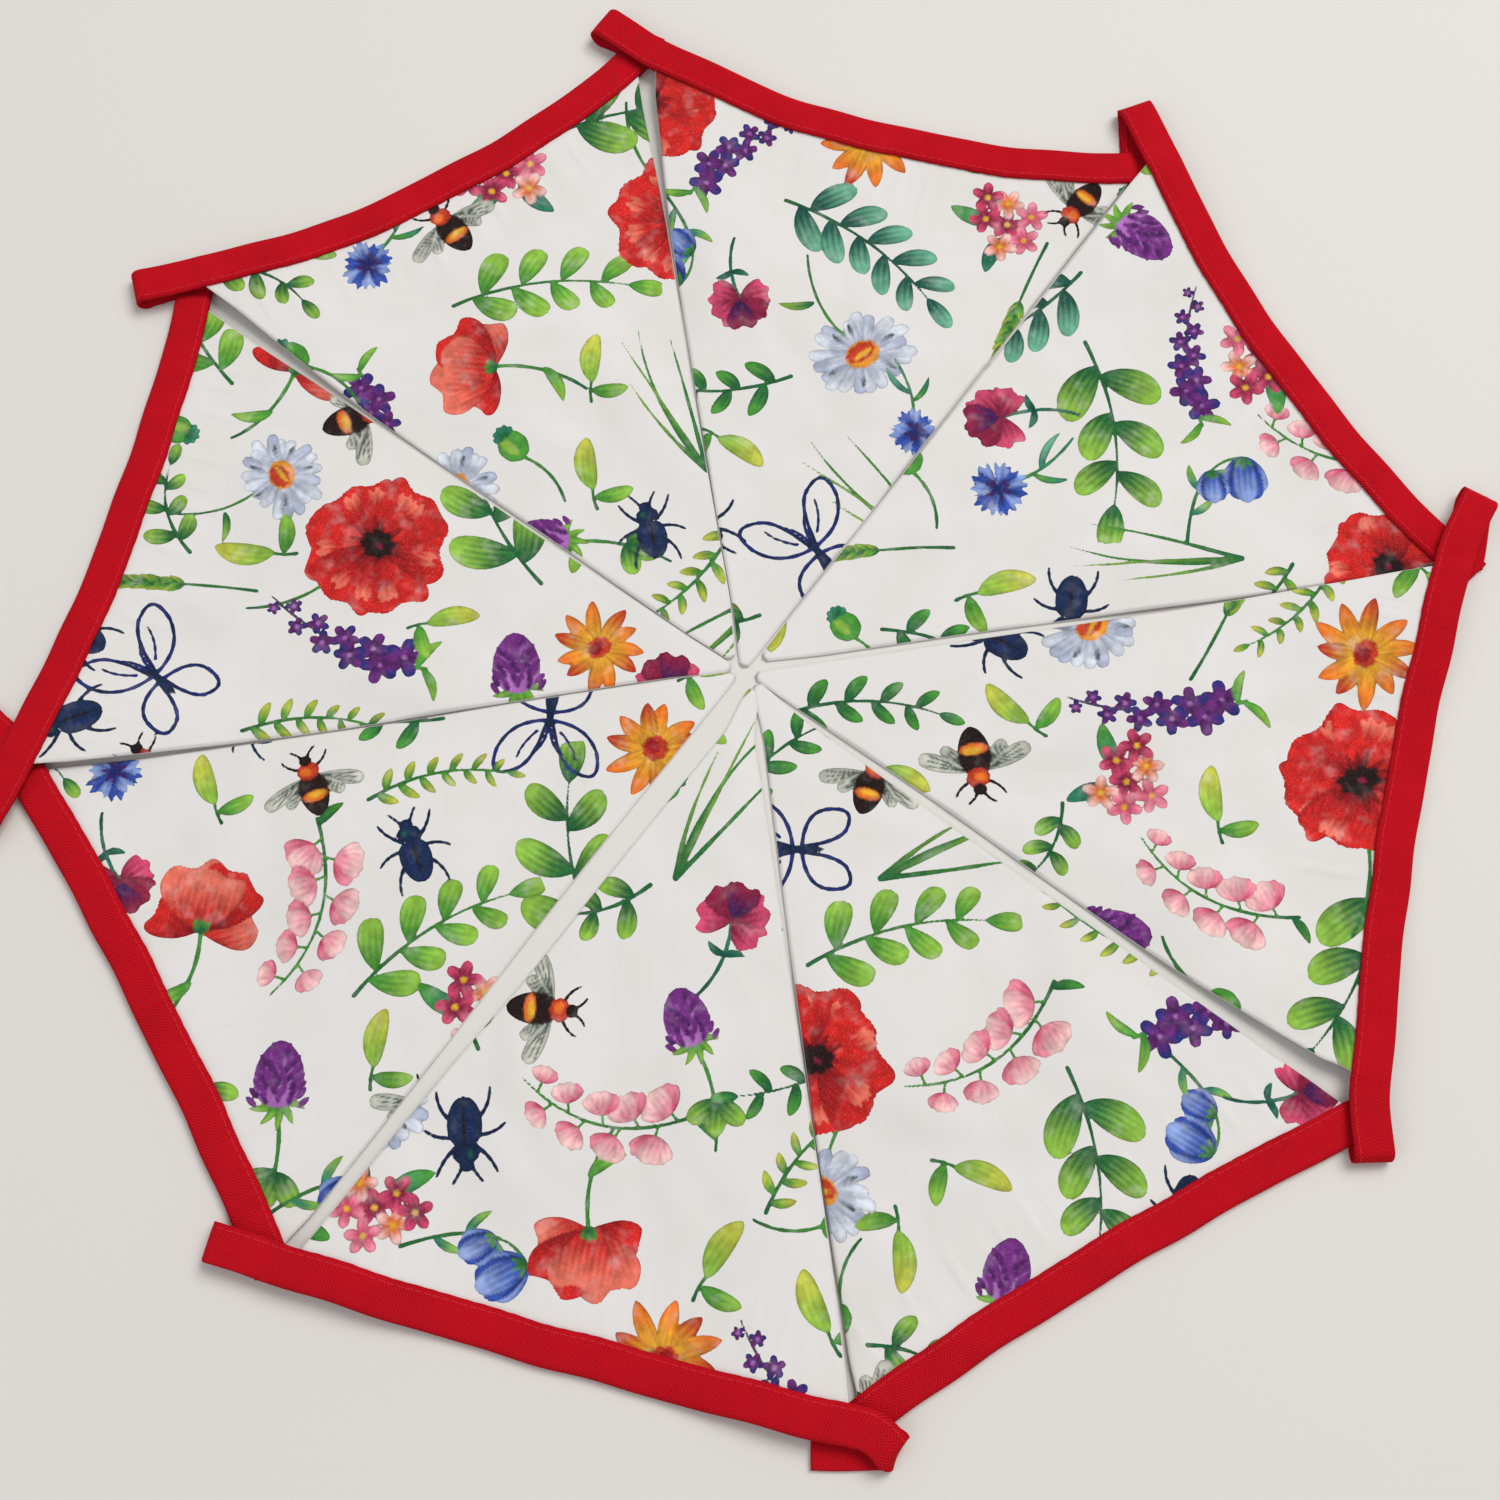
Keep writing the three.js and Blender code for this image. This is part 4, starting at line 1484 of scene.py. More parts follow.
@dataclass
class BindingTape:
    """The whole red tape: over each flag's top, out into the loops, and to its two free ends."""

    flags: tuple[FlagLie, ...]
    loops: dict[str, Loop]
    tails: dict[tuple[str, str], Tail]
    step: float = 1.2
    turn_steps: int = 12
    wall: float = 0.85
    slack: float = 0.2
    landing: float = 44.0
    crown: float = 0.18
    lip_drop: float = 0.25
    lip_share: float = 0.3
    lip_from: float = 1.2
    lower_back: float = 0.4
    least_half: float = 0.04
    section: tuple[int, int, int] = (7, 5, 6)
    selvedge: float = 0.05
    selvedge_back: float = 0.1
    selvedge_waves: Waves = (5.3, 11.0, 3.7)
    sway: float = 0.22
    sway_waves: Waves = (43.0, 27.0, 71.0)
    puff: float = 0.05
    puff_waves: Waves = (9.0, 17.0, 31.0)
    phase_step: float = 1.3

    def free_leg(
        self, lie: FlagLie, side: int, length: float, turn: float, height: Callable[[Array], Array]
    ) -> tuple[TapeRows, Array]:
        """Work out a free stretch that leaves a corner and turns outward at an even rate.

        Args:
            lie: The flag that it leaves.
            side: -1 at the flag's first corner, 1 at its last.
            length: Its length from the corner.
            turn: The degrees that it turns outward.
            height: The height of its middle at each distance from the corner.

        Returns:
            Its rows from the corner outward, and the directions in which it runs.
        """
        start, clockwise = lie.tape_middle(np.array([side * CUT.half_width]))
        heading = math.atan2(side * clockwise[0, 1], side * clockwise[0, 0])
        distance = np.linspace(0.0, length, max(3, round(length / self.step)) + 1)
        between = (distance[1:] + distance[:-1]) / 2.0
        rate = side * math.radians(turn) / (length - TAPE.taper)
        points = np.zeros((len(distance), 3))
        bends = heading + rate * np.maximum(0.0, between - TAPE.taper)
        points[1:] = np.cumsum(unit(bends) * np.diff(distance)[:, None], axis=0)
        points += start[0]
        points[:, 2] = height(distance)
        direction = unit(heading + rate * np.maximum(0.0, distance - TAPE.taper))
        thin = smoothstep(distance, 0.0, TAPE.taper)
        thickness = TAPE.over_cloth + (TAPE.free - TAPE.over_cloth) * thin
        up = np.tile(UPRIGHT, (len(distance), 1))
        return TapeRows(points, side * left_of(direction), up, thickness), direction

    def loop_leg(self, lie: FlagLie, side: int, loop: Loop) -> TapeRows:
        """Work out a loop: out along its top, half a turn down, and back along the table.

        The turn is a half circle upright, and its plane swings round on the way down, toward
        the straight lower layer.

        Args:
            lie: The flag whose tape makes the loop.
            side: -1 at the flag's first corner, 1 at its last.
            loop: The loop's sizes.

        Returns:
            Its rows from the corner out and back.
        """
        radius = (loop.lift - TAPE.free / 2.0) / 2.0
        length = loop.reach - radius
        start = TAPE.over_rise + TAPE.over_cloth / 2.0

        def height(distance: Array) -> Array:
            """Return the top layer's height: from the corner's to the loop's lift."""
            return start + (loop.lift - start) * smoothstep(distance, TAPE.taper, length)

        top, direction = self.free_leg(lie, side, length, loop.turn, height)
        tip, out = top.middle[-1:], direction[-1:]
        away = (tip - top.middle[:1]) * [1.0, 1.0, 0.0]
        away /= np.linalg.norm(away)
        low = turned(away, np.full(1, -side * math.radians(loop.fan)))
        swing = math.atan2(out[0, 0] * low[0, 1] - out[0, 1] * low[0, 0], float((out * low).sum()))
        angle = np.pi * np.arange(1, self.turn_steps + 1) / self.turn_steps
        swung = turned(np.repeat(out, len(angle), axis=0), swing * smoothstep(angle, 0.0, np.pi))
        turn_middle = tip + swung * (radius * np.sin(angle))[:, None]
        turn_middle[:, 2] = loop.lift - radius * (1.0 - np.cos(angle))
        turn_up = swung * np.sin(angle)[:, None] + UPRIGHT * np.cos(angle)[:, None]
        flat = np.full(len(angle), TAPE.free)
        turn = TapeRows(turn_middle, side * left_of(swung), turn_up, flat)
        count = round(loop.back / self.step)
        distance = np.arange(1, count + 1) * (loop.back / count)
        back_middle = tip - low * distance[:, None]
        back_middle[:, 2] = TAPE.free / 2.0
        back_out = np.repeat(side * left_of(low), count, axis=0)
        back_up = np.tile(-UPRIGHT, (count, 1))
        back_thickness = np.full(count, TAPE.free - self.slack)
        back = TapeRows(back_middle, back_out, back_up, back_thickness)
        return TapeRows.joined([top, turn, back])

    def end_leg(self, lie: FlagLie, side: int) -> TapeRows:
        """Return the free tape at a corner: a tail, a loop, or a run under the neighbour's loop.

        Args:
            lie: The flag.
            side: -1 at its first corner, 1 at its last.

        Returns:
            The rows from the corner outward.
        """
        corner = "first" if side < 0 else "last"
        over = (lie.first if side < 0 else lie.last) is TapeEnd.OVER
        low = TAPE.free / 2.0
        tail = self.tails.get((lie.name, corner))

        def level(distance: Array) -> Array:
            """Return the height of tape that comes down at once to lie on the table."""
            return low + (TAPE.over_cloth / 2.0 - low) * (1.0 - smoothstep(distance, 0.0, TAPE.taper))

        def landing(distance: Array) -> Array:
            """Return the height of a tail that comes down slowly from its place on its neighbour."""
            high = TAPE.over_rise + TAPE.over_cloth / 2.0
            return high + (low - high) * smoothstep(distance, TAPE.hold, self.landing)

        if tail:
            return self.free_leg(lie, side, tail.length, tail.turn, landing if over else level)[0]
        index = self.flags.index(lie)
        before = self.flags[index - 1] if side < 0 else lie
        loop = self.loops[before.name]
        if over:
            return self.loop_leg(lie, side, loop)
        return self.free_leg(lie, side, loop.run, 0.0, level)[0]

    def flag_rows(self, lie: FlagLie) -> TapeRows:
        """Return one flag's tape, walked clockwise: its first end, its top and its last end.

        Args:
            lie: The flag.

        Returns:
            Its tape's rows.
        """
        count = round(2.0 * CUT.half_width / self.step)
        x = np.linspace(-CUT.half_width, CUT.half_width, count + 1)[1:-1]
        middle, clockwise = lie.tape_middle(x)
        up = np.tile(UPRIGHT, (len(x), 1))
        thickness = np.full(len(x), TAPE.over_cloth)
        over_flag = TapeRows(middle, left_of(clockwise), up, thickness)
        return TapeRows.joined([self.end_leg(lie, -1).backward(), over_flag, self.end_leg(lie, 1)])

    def sweep(self, rows: TapeRows, seed: float) -> tuple[Array, list[Numbers], Array]:
        """Carry the folded tape's section along its rows.

        The section is a U lying on its side, closed at the fold and open at the selvedges. Its
        outer line runs along the upper layer, half round the fold and back along the lower
        layer. Its inner line runs inside that, one wall away. Slow sines move the tape aside,
        puff up its top and waver its upper selvedge, which dips toward the cloth.

        Args:
            rows: The rows to follow.
            seed: Sets the phases of the tape's unevenness.

        Returns:
            The points, the faces, and each point's place across and along the tape.
        """
        upper, fold, lower = self.section
        steps = np.linalg.norm(np.diff(rows.middle, axis=0), axis=1)
        along = np.concatenate([[0.0], np.cumsum(steps)])[:, None]
        half = (rows.thickness[:, None] - self.slack) / 2.0
        wide = TAPE.width / 2.0
        flat_share = np.linspace(0.0, 1.0, upper)
        bend = np.linspace(0.0, np.pi, fold + 2)[1:-1]
        back_share = np.linspace(1.0, 0.0, lower)
        selvedge = self.selvedge * ripple(along, self.selvedge_waves, seed) - self.selvedge_back
        facing_up = np.maximum(rows.up[:, 2:], 0.0)
        sway = self.sway * ripple(along, self.sway_waves, seed + 2.0)
        puff = self.puff * ripple(along, self.puff_waves, seed + 4.0)

        def contour(inset: float) -> tuple[Array, Array]:
            """Return a line of the section, this far inside its outside, as across and up.

            Args:
                inset: How far inside the section's outside the line lies.

            Returns:
                Each point's place across and up.
            """
            height = np.maximum(half - inset, self.least_half)
            reach = wide - half
            top_a = -wide + selvedge + (reach + wide - selvedge) * flat_share
            crown = self.crown * 4.0 * flat_share * (1.0 - flat_share) * facing_up
            lip = self.lip_drop * (1.0 - smoothstep(flat_share, 0.0, self.lip_share))
            lip = lip * (half > self.lip_from)
            top_b = height + puff * facing_up + crown - lip
            fold_a = reach + height * np.sin(bend)
            fold_b = height * np.cos(bend)
            low_a = -wide + self.lower_back + (reach + wide - self.lower_back) * back_share
            low_b = np.repeat(-height, lower, axis=1)
            return (
                np.concatenate([top_a, fold_a, low_a], axis=1) + sway,
                np.concatenate([top_b, fold_b, low_b], axis=1),
            )

        outer_a, outer_b = contour(0.0)
        inner_a, inner_b = contour(self.wall)
        across = np.concatenate([outer_a, inner_a[:, ::-1]], axis=1)[:, :, None]
        up = np.concatenate([outer_b, inner_b[:, ::-1]], axis=1)[:, :, None]
        points = rows.middle[:, None] + rows.outward[:, None] * across + rows.up[:, None] * up
        count, sides = across.shape[:2]
        grid = np.arange(count * sides).reshape(count, sides)
        after = np.roll(grid, -1, axis=1)
        walls = np.stack([grid[:-1], grid[1:], after[1:], after[:-1]], axis=2).reshape(-1, 4)
        line = np.arange(sides // 2 - 1)
        back = sides - 1 - line
        cap = np.stack([line, line + 1, back - 1, back], axis=1)
        ends = [cap, (cap + grid[-1, 0])[:, ::-1]]
        runs = np.hypot(np.diff(outer_a, axis=1), np.diff(outer_b, axis=1))
        sheet = np.concatenate([np.zeros((count, 1)), np.cumsum(runs, axis=1)], axis=1)
        sheet *= 2.0 * TAPE.width / sheet[:, -1:]
        sheet = np.concatenate([sheet, sheet[:, ::-1]], axis=1)
        place = np.stack([sheet.ravel(), np.repeat(along[:, 0], sides)], axis=1)
        return points.reshape(-1, 3), [walls, *ends], place

    def build(self) -> bpy.types.Object:
        """Make the tape from the eight flags' lengths, as one object that stands for the frame's.

        Returns:
            The tape's object.
        """
        points: list[Array] = []
        faces: list[Numbers] = []
        places: list[Array] = []
        total = 0
        length = 0.0
        for number, lie in enumerate(self.flags):
            made, made_faces, place = self.sweep(self.flag_rows(lie), self.phase_step * number)
            points.append(made)
            faces.extend(each + total for each in made_faces)
            places.append(place + [0.0, length])
            total += len(made)
            length += place[:, 1].max()
        tape = mesh_object("binding_tape_twill", np.concatenate(points), faces)
        place = np.concatenate(places)
        add_uv(tape.data, place[:, 0], place[:, 1])
        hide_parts("binding_tape")
        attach(tape, "root")
        log.info("tape: %.0f mm long", length)
        return tape


def wheel_flags() -> tuple[FlagLie, ...]:
    """Return how the eight flags lie, clockwise from the one at the top.

    Each flag's sides are how far its first and its last side lie out from straight, in
    millimetres, at five even places from near its tip to near its tape.

    Returns:
        The flags, in order.
    """
    over, under = TapeEnd.OVER, TapeEnd.UNDER
    return (
        FlagLie(
            "flag_a", (-3.5, 0.5), 75.0, 10.5, over, under,
            swells=(Swell(-30, 150, 34, 46, 2.2), Swell(26, 118, 30, 60, 1.6)),
            lean=6.0,
            first_side=(-2.3, -0.3, 1.4, 2.6, 1.6),
            last_side=(1.8, 1.55, 0.95, 0.3, -0.6),
        ),
        FlagLie(
            "flag_b", (4.0, 4.5), 30.5, 7.5, over, under,
            swells=(Swell(34, 140, 34, 52, 2.4), Swell(-18, 92, 24, 44, 1.4)),
            lean=-14.0,
            first_side=(-1.0, -0.8, -0.15, 0.15, 0.4),
            last_side=(2.3, 2.0, 2.5, 3.0, 2.3),
        ),
        FlagLie(
            "flag_c", (3.0, 0.0), -13.75, 3.0, over, over,
            swells=(Swell(-22, 138, 40, 50, 2.0), Swell(40, 156, 30, 38, 2.2)),
            lean=24.0,
            first_side=(-2.7, -2.6, -2.5, -2.3, -1.7),
            last_side=(3.1, 2.8, 3.8, 4.4, 2.2),
        ),
        FlagLie(
            "flag_d", (4.0, -5.0), -60.25, 3.5, under, under,
            swells=(Swell(22, 128, 36, 56, 2.4), Swell(-36, 152, 28, 40, 1.8)),
            lean=-20.0,
            first_side=(-3.1, -2.8, -2.0, -1.0, 0.0),
            last_side=(0.4, 1.2, 1.7, 1.85, 1.0),
        ),
        FlagLie(
            "flag_e", (1.0, -7.0), -105.25, -1.5, over, over,
            swells=(Swell(-30, 136, 34, 54, 2.0), Swell(36, 150, 34, 44, 2.4)),
            lean=9.0,
            first_side=(-2.4, -1.2, -0.3, 0.4, 0.4),
            last_side=(-4.1, -3.8, -4.1, -3.2, -3.8),
        ),
        FlagLie(
            "flag_f", (-2.5, -5.5), -150.0, 2.5, under, under,
            swells=(Swell(4, 132, 44, 58, 2.6),),
            lean=22.0,
            first_side=(-3.2, -2.9, -1.7, -0.2, 0.8),
            last_side=(3.6, 2.4, 0.6, -0.05, -0.1),
        ),
        FlagLie(
            "flag_g", (-6.0, -2.5), 165.5, 4.5, over, under,
            swells=(Swell(28, 144, 36, 48, 2.2), Swell(-26, 110, 28, 50, 1.6)),
            lean=-10.0,
            first_side=(-2.9, -1.7, 0.1, 0.7, 0.7),
            last_side=(1.4, 0.25, -0.5, -1.1, -2.8),
        ),
        FlagLie(
            "flag_h", (-7.0, 2.0), 120.5, 10.5, over, under,
            swells=(Swell(-8, 146, 46, 46, 2.2), Swell(22, 84, 18, 44, 1.2)),
            lean=14.0,
            first_side=(-0.9, -0.1, 1.2, 1.65, -0.5),
            last_side=(3.2, 2.1, 1.2, 0.8, -1.7),
        ),
    )


# The seeds of the print on the first flag's face and back. Each next flag takes the next seeds.
FRONT_SEED = 1
BACK_SEED = 101


def corner_loops() -> dict[str, Loop]:
    """Return the loops, each under the flag that it comes after, clockwise.

    Returns:
        Each loop by its flag's name.
    """
    return {
        "flag_a": Loop(reach=24, turn=-9, lift=6, back=17, fan=-20, run=10),
        "flag_b": Loop(reach=29, turn=16, lift=6.2, back=22, fan=10, run=12),
        "flag_c": Loop(reach=26, turn=13, lift=6, back=14, fan=-3, run=8),
        "flag_d": Loop(reach=17.5, turn=40, lift=6, back=23, fan=27, run=11),
        "flag_e": Loop(reach=24, turn=3, lift=6, back=17, fan=0, run=6),
        "flag_g": Loop(reach=24, turn=2, lift=6.2, back=17, fan=6, run=10),
        "flag_h": Loop(reach=28, turn=7, lift=6.2, back=20, fan=8, run=10),
    }


@dataclass
class Graph:
    """Adds nodes to one shader tree and links them."""

    tree: bpy.types.NodeTree

    def feed(self, socket: Socket, value: object) -> None:
        """Link another node's output to a socket, or set the socket to a plain value.

        Args:
            socket: The socket.
            value: The output or the value.
        """
        if isinstance(value, Socket):
            self.tree.links.new(value, socket)
        else:
            socket.default_value = value

    def node(
        self, kind: str, inputs: dict[str | int, object] | None = None, **settings: object
    ) -> bpy.types.Node:
        """Add a node.

        Args:
            kind: The node's type.
            inputs: What goes into its sockets: other nodes' outputs, or plain values.
            settings: The node's own settings.

        Returns:
            The node.
        """
        made = self.tree.nodes.new(kind)
        for name, value in settings.items():
            setattr(made, name, value)
        for socket, value in (inputs or {}).items():
            self.feed(made.inputs[socket], value)
        return made

    def math(self, operation: str, *values: object) -> Socket:
        """Return the result of a sum on one, two or three values."""
        return self.node("ShaderNodeMath", dict(enumerate(values)), operation=operation).outputs[0]

    def step(self, value: object, low: float, high: float, *to: float) -> Socket:
        """Return a smooth step of a value between two limits, from 0 to 1 or between two numbers.

        Args:
            value: What the step follows.
            low: Where it begins.
            high: Where it ends.
            to: Its two levels, or nothing for 0 and 1.

        Returns:
            The step.
        """
        start, end = to or (0.0, 1.0)
        inputs = {"Value": value, "From Min": low, "From Max": high, "To Min": start, "To Max": end}
        return self.node("ShaderNodeMapRange", inputs, interpolation_type="SMOOTHSTEP").outputs["Result"]

    def noise(self, vector: object, size: float, detail: float = 2.0) -> Socket:
        """Return noise whose lumps are about this size, in metres."""
        inputs = {"Vector": vector, "Scale": 1.0 / size, "Detail": detail, "Roughness": 0.55}
        return self.node("ShaderNodeTexNoise", inputs).outputs["Fac"]

    def mix(self, share: object, first: object, second: object, way: str = "MIX") -> Socket:
        """Return two colours mixed by a share."""
        inputs = {0: share, 6: first, 7: second}
        return self.node("ShaderNodeMix", inputs, data_type="RGBA", blend_type=way).outputs[2]

    def sum(self, *terms: object) -> Socket:
        """Return the sum of two or more values."""
        return reduce(lambda total, each: self.math("ADD", total, each), terms)

    def times(self, *factors: object) -> Socket:
        """Return the product of two values."""
        return self.math("MULTIPLY", *factors)

    def from_level(self, value: object, level: object) -> Socket:
        """Return how far a value is from a level, either way."""
        return self.math("ABSOLUTE", self.math("SUBTRACT", value, level))

    def darkened(self, colour: object, share: object) -> Socket:
        """Return a colour times a grey of this share of white."""
        grey = self.node("ShaderNodeCombineColor", {0: share, 1: share, 2: share}).outputs[0]
        return self.mix(1.0, colour, grey, "MULTIPLY")

    def attribute(self, name: str) -> bpy.types.Node:
        """Return the node that reads one of the mesh's own attributes."""
        return self.node("ShaderNodeAttribute", attribute_name=name)

    def cloth_place(self) -> Socket:
        """Return each point's place on its own flat cloth, in metres."""
        return self.node("ShaderNodeUVMap", uv_map="cloth").outputs["UV"]

    def surface(self, shader: bpy.types.Node, colour: object, height: object, strength: float) -> None:
        """Give a shader its colour, and bumps from a height in metres.

        Args:
            shader: The Principled shader.
            colour: Its base colour.
            height: The bumps' height.
            strength: How strongly they show.
        """
        bump = self.node("ShaderNodeBump", {"Height": height, "Strength": strength, "Distance": 1.0})
        self.feed(shader.inputs["Base Color"], colour)
        self.feed(shader.inputs["Normal"], bump.outputs[0])


def new_material(name: str) -> tuple[bpy.types.Material, Graph, bpy.types.Node]:
    """Return a new material, its graph and its Principled shader.

    Args:
        name: The material's name.

    Returns:
        The material, its graph and its shader.
    """
    material = bpy.data.materials.new(name)
    material.use_nodes = True
    return material, Graph(material.node_tree), material.node_tree.nodes["Principled BSDF"]


class Group:
    """A shader node group with named sockets, built once and placed in each material."""

    def __init__(self, name: str, inputs: dict[str, float | None], outputs: tuple[str, ...]) -> None:
        """Make an empty group.

        Args:
            name: The group's name.
            inputs: Its inputs: a number's default, or None for a vector.
            outputs: Its outputs, which are numbers.
        """
        self.tree = bpy.data.node_groups.new(name, "ShaderNodeTree")
        for socket, default in inputs.items():
            kind = "NodeSocketVector" if default is None else "NodeSocketFloat"
            made = self.tree.interface.new_socket(socket, in_out="INPUT", socket_type=kind)
            if default is not None:
                made.default_value = default
        for socket in outputs:
            self.tree.interface.new_socket(socket, in_out="OUTPUT", socket_type="NodeSocketFloat")
        self.graph = Graph(self.tree)
        self.entry = self.graph.node("NodeGroupInput")
        self.exit = self.graph.node("NodeGroupOutput")

    def give(self, **results: Socket) -> None:
        """Link results to the group's outputs, by name."""
        for name, result in results.items():
            self.tree.links.new(result, self.exit.inputs[name])

    def place(self, graph: Graph, inputs: dict[str, object]) -> bpy.types.Node:
        """Place the group in a material's graph, with its own values."""
        return graph.node("ShaderNodeGroup", inputs, node_tree=self.tree)


def plain_weave() -> Group:
    """Return the plain weave: threads one over, one under, as the larger of two rounded rows.

    Returns:
        The group, with the threads' height.
    """
    group = Group("plain_weave", {"Vector": None, "Pitch": 0.0004}, ("Height",))
    graph, entry = group.graph, group.entry.outputs
    split = graph.node("ShaderNodeSeparateXYZ", {0: entry["Vector"]})
    turns = [graph.math("DIVIDE", split.outputs[k], entry["Pitch"]) for k in (0, 1)]
    warp, weft = (graph.math("SINE", graph.times(turn, math.pi)) for turn in turns)
    over = graph.math("GREATER_THAN", graph.times(warp, weft), 0.0)
    under = graph.math("SUBTRACT", 1.0, over)
    rows = graph.times(graph.math("ABSOLUTE", warp), over)
    columns = graph.times(graph.math("ABSOLUTE", weft), under)
    group.give(Height=graph.sum(rows, columns))
    return group


def herringbone() -> Group:
    """Return the tape's twill: slanting ribs that turn back in each column, and slits between.

    Returns:
        The group, with the ribs' height.
    """
    inputs = {"Vector": None, "Column": 0.0042, "Pitch": 0.0011}
    group = Group("herringbone", inputs, ("Height",))
    graph, entry = group.graph, group.entry.outputs
    split = graph.node("ShaderNodeSeparateXYZ", {0: entry["Vector"]})
    column = graph.math("FRACT", graph.math("DIVIDE", split.outputs[0], entry["Column"]))
    fold = graph.from_level(column, 0.5)
    slant = graph.math("DIVIDE", graph.times(fold, entry["Column"]), entry["Pitch"])
    along = graph.math("DIVIDE", split.outputs[1], entry["Pitch"])
    turn = graph.times(graph.sum(along, slant), 2.0 * math.pi)
    rib = graph.math("MULTIPLY_ADD", graph.math("SINE", turn), 0.5, 0.5)
    slit = graph.step(graph.math("PINGPONG", column, 0.5), 0.0, 0.05)
    group.give(Height=graph.times(rib, graph.math("MULTIPLY_ADD", slit, 0.4, 0.6)))
    return group


def stitch_row() -> Group:
    """Return a row of stitches along a line of the tape, as a mask that is 1 on the thread.

    Returns:
        The group, with the thread's mask.
    """
    inputs = {"Vector": None, "Line": 0.0016, "Pitch": 0.0029, "Width": 0.00028}
    group = Group("stitch_row", inputs, ("Mask",))
    graph, entry = group.graph, group.entry.outputs
    split = graph.node("ShaderNodeSeparateXYZ", {0: entry["Vector"]})
    off = graph.from_level(split.outputs[0], entry["Line"])
    beside = graph.step(graph.math("DIVIDE", off, entry["Width"]), 0.5, 1.1, 1.0, 0.0)
    place = graph.math("FRACT", graph.math("DIVIDE", split.outputs[1], entry["Pitch"]))
    inside = graph.math("PINGPONG", place, 0.5)
    group.give(Mask=graph.times(beside, graph.step(inside, 0.06, 0.14)))
    return group


@dataclass(frozen=True)
class PrintedCotton:
    """White cotton poplin with a watercolour print.

    Sizes and heights are in metres, but what is measured from the ink's or the cloth's edge is in
    millimetres, as the mesh gives it. The rest are shares.
    """

    ground: int = 0xE3E0DD
    ground_shade: int = 0xE0DDD8
    cloud_size: float = 0.035
    fray_size: float = 0.0012
    fray: float = 0.35
    soft_edge: Pair = (-0.1, 0.12)
    water_size: float = 0.007
    water_thin: float = 0.3
    grain_size: float = 0.0006
    grain_thin: float = 0.16
    dark_thin: float = 0.3
    pool_size: float = 0.0045
    pool: Pair = (0.8, 1.06)
    rim: float = 0.7
    rim_dark: float = 0.8
    bare_size: float = 0.02
    bare: float = 0.3
    bare_edge: Pair = (-0.12, 0.12)
    seam_line: float = 0.7
    seam_width: Pair = (0.08, 0.35)
    # How dark the painted shadow line along the seam makes the cloth.
    seam_shadow_dark: float = 0.93
    seam_depth: float = 0.0003
    weave: float = 0.00038
    weave_depth: float = 0.00004
    crumple_size: float = 0.009
    crumple_depth: float = 0.00022
    bump: float = 0.6
    roughness: float = 0.88
    gloss: float = 0.18
    sheen: float = 0.06

    def material(self, weave: Group) -> bpy.types.Material:
        """Return the cloth's material.

        Where the ink's depth is above nothing the cloth takes the ink. The ink is thinner in
        patches, as if by water, and darker where it dried along its edge. The cloth's own edge
        is bare for a hair's width, and a faint line of painted shadow, with a shallow groove in
        the bumps, runs along it where the layers were pressed.

        Args:
            weave: The plain weave.

        Returns:
            The material, which reads the mesh's attributes ink, ink_depth and edge.
        """
        material, graph, shader = new_material("printed_cotton")
        uv = graph.cloth_place()
        ink = graph.attribute("ink").outputs["Color"]
        depth = graph.attribute("ink_depth").outputs["Fac"]
        edge = graph.attribute("edge").outputs["Fac"]
        cloud = graph.step(graph.noise(uv, self.cloud_size), 0.35, 0.7)
        ground = graph.mix(cloud, solid(self.ground), solid(self.ground_shade))
        fray = graph.math("SUBTRACT", graph.noise(uv, self.fray_size, 3.0), 0.5)
        mask = graph.step(graph.math("MULTIPLY_ADD", fray, self.fray, depth), *self.soft_edge)
        water = graph.step(graph.noise(uv, self.water_size, 3.0), 0.48, 0.8, 0.0, self.water_thin)
        grain = graph.step(graph.noise(uv, self.grain_size), 0.5, 0.8, 0.0, self.grain_thin)
        worn = graph.math("MAXIMUM", water, grain)
        lightness = graph.node("ShaderNodeRGBToBW", {0: ink}).outputs[0]
        thin = graph.times(worn, graph.step(lightness, 0.0, 0.2, self.dark_thin, 1.0))
        washed = graph.mix(thin, ink, solid(self.ground))
        pool = graph.step(graph.noise(uv, self.pool_size, 3.0), 0.35, 0.65, *self.pool)
        dried = graph.step(depth, 0.0, self.rim, self.rim_dark, 1.0)
        washed = graph.darkened(washed, graph.times(dried, pool))
        bare = graph.times(graph.noise(uv, self.bare_size, 1.0), self.bare)
        inside = graph.step(graph.math("SUBTRACT", edge, bare), *self.bare_edge)
        colour = graph.mix(graph.times(mask, inside), ground, washed)
        # Painted shadow: a thin line along the pressed seam darkens the colour, and the same line also
        # shapes a shallow groove in the bumps.
        off_seam = graph.from_level(edge, self.seam_line)
        seam_shadow = graph.step(off_seam, *self.seam_width, self.seam_shadow_dark, 1.0)
        colour = graph.darkened(colour, seam_shadow)
        threads = weave.place(graph, {"Vector": uv, "Pitch": self.weave}).outputs["Height"]
        height = graph.sum(
            graph.times(threads, self.weave_depth),
            graph.times(graph.noise(uv, self.crumple_size, 3.0), self.crumple_depth),
            graph.times(seam_shadow, self.seam_depth),
        )
        graph.surface(shader, colour, height, self.bump)
        shader.inputs["Roughness"].default_value = self.roughness
        shader.inputs["Specular IOR Level"].default_value = self.gloss
        shader.inputs["Sheen Weight"].default_value = self.sheen
        return material


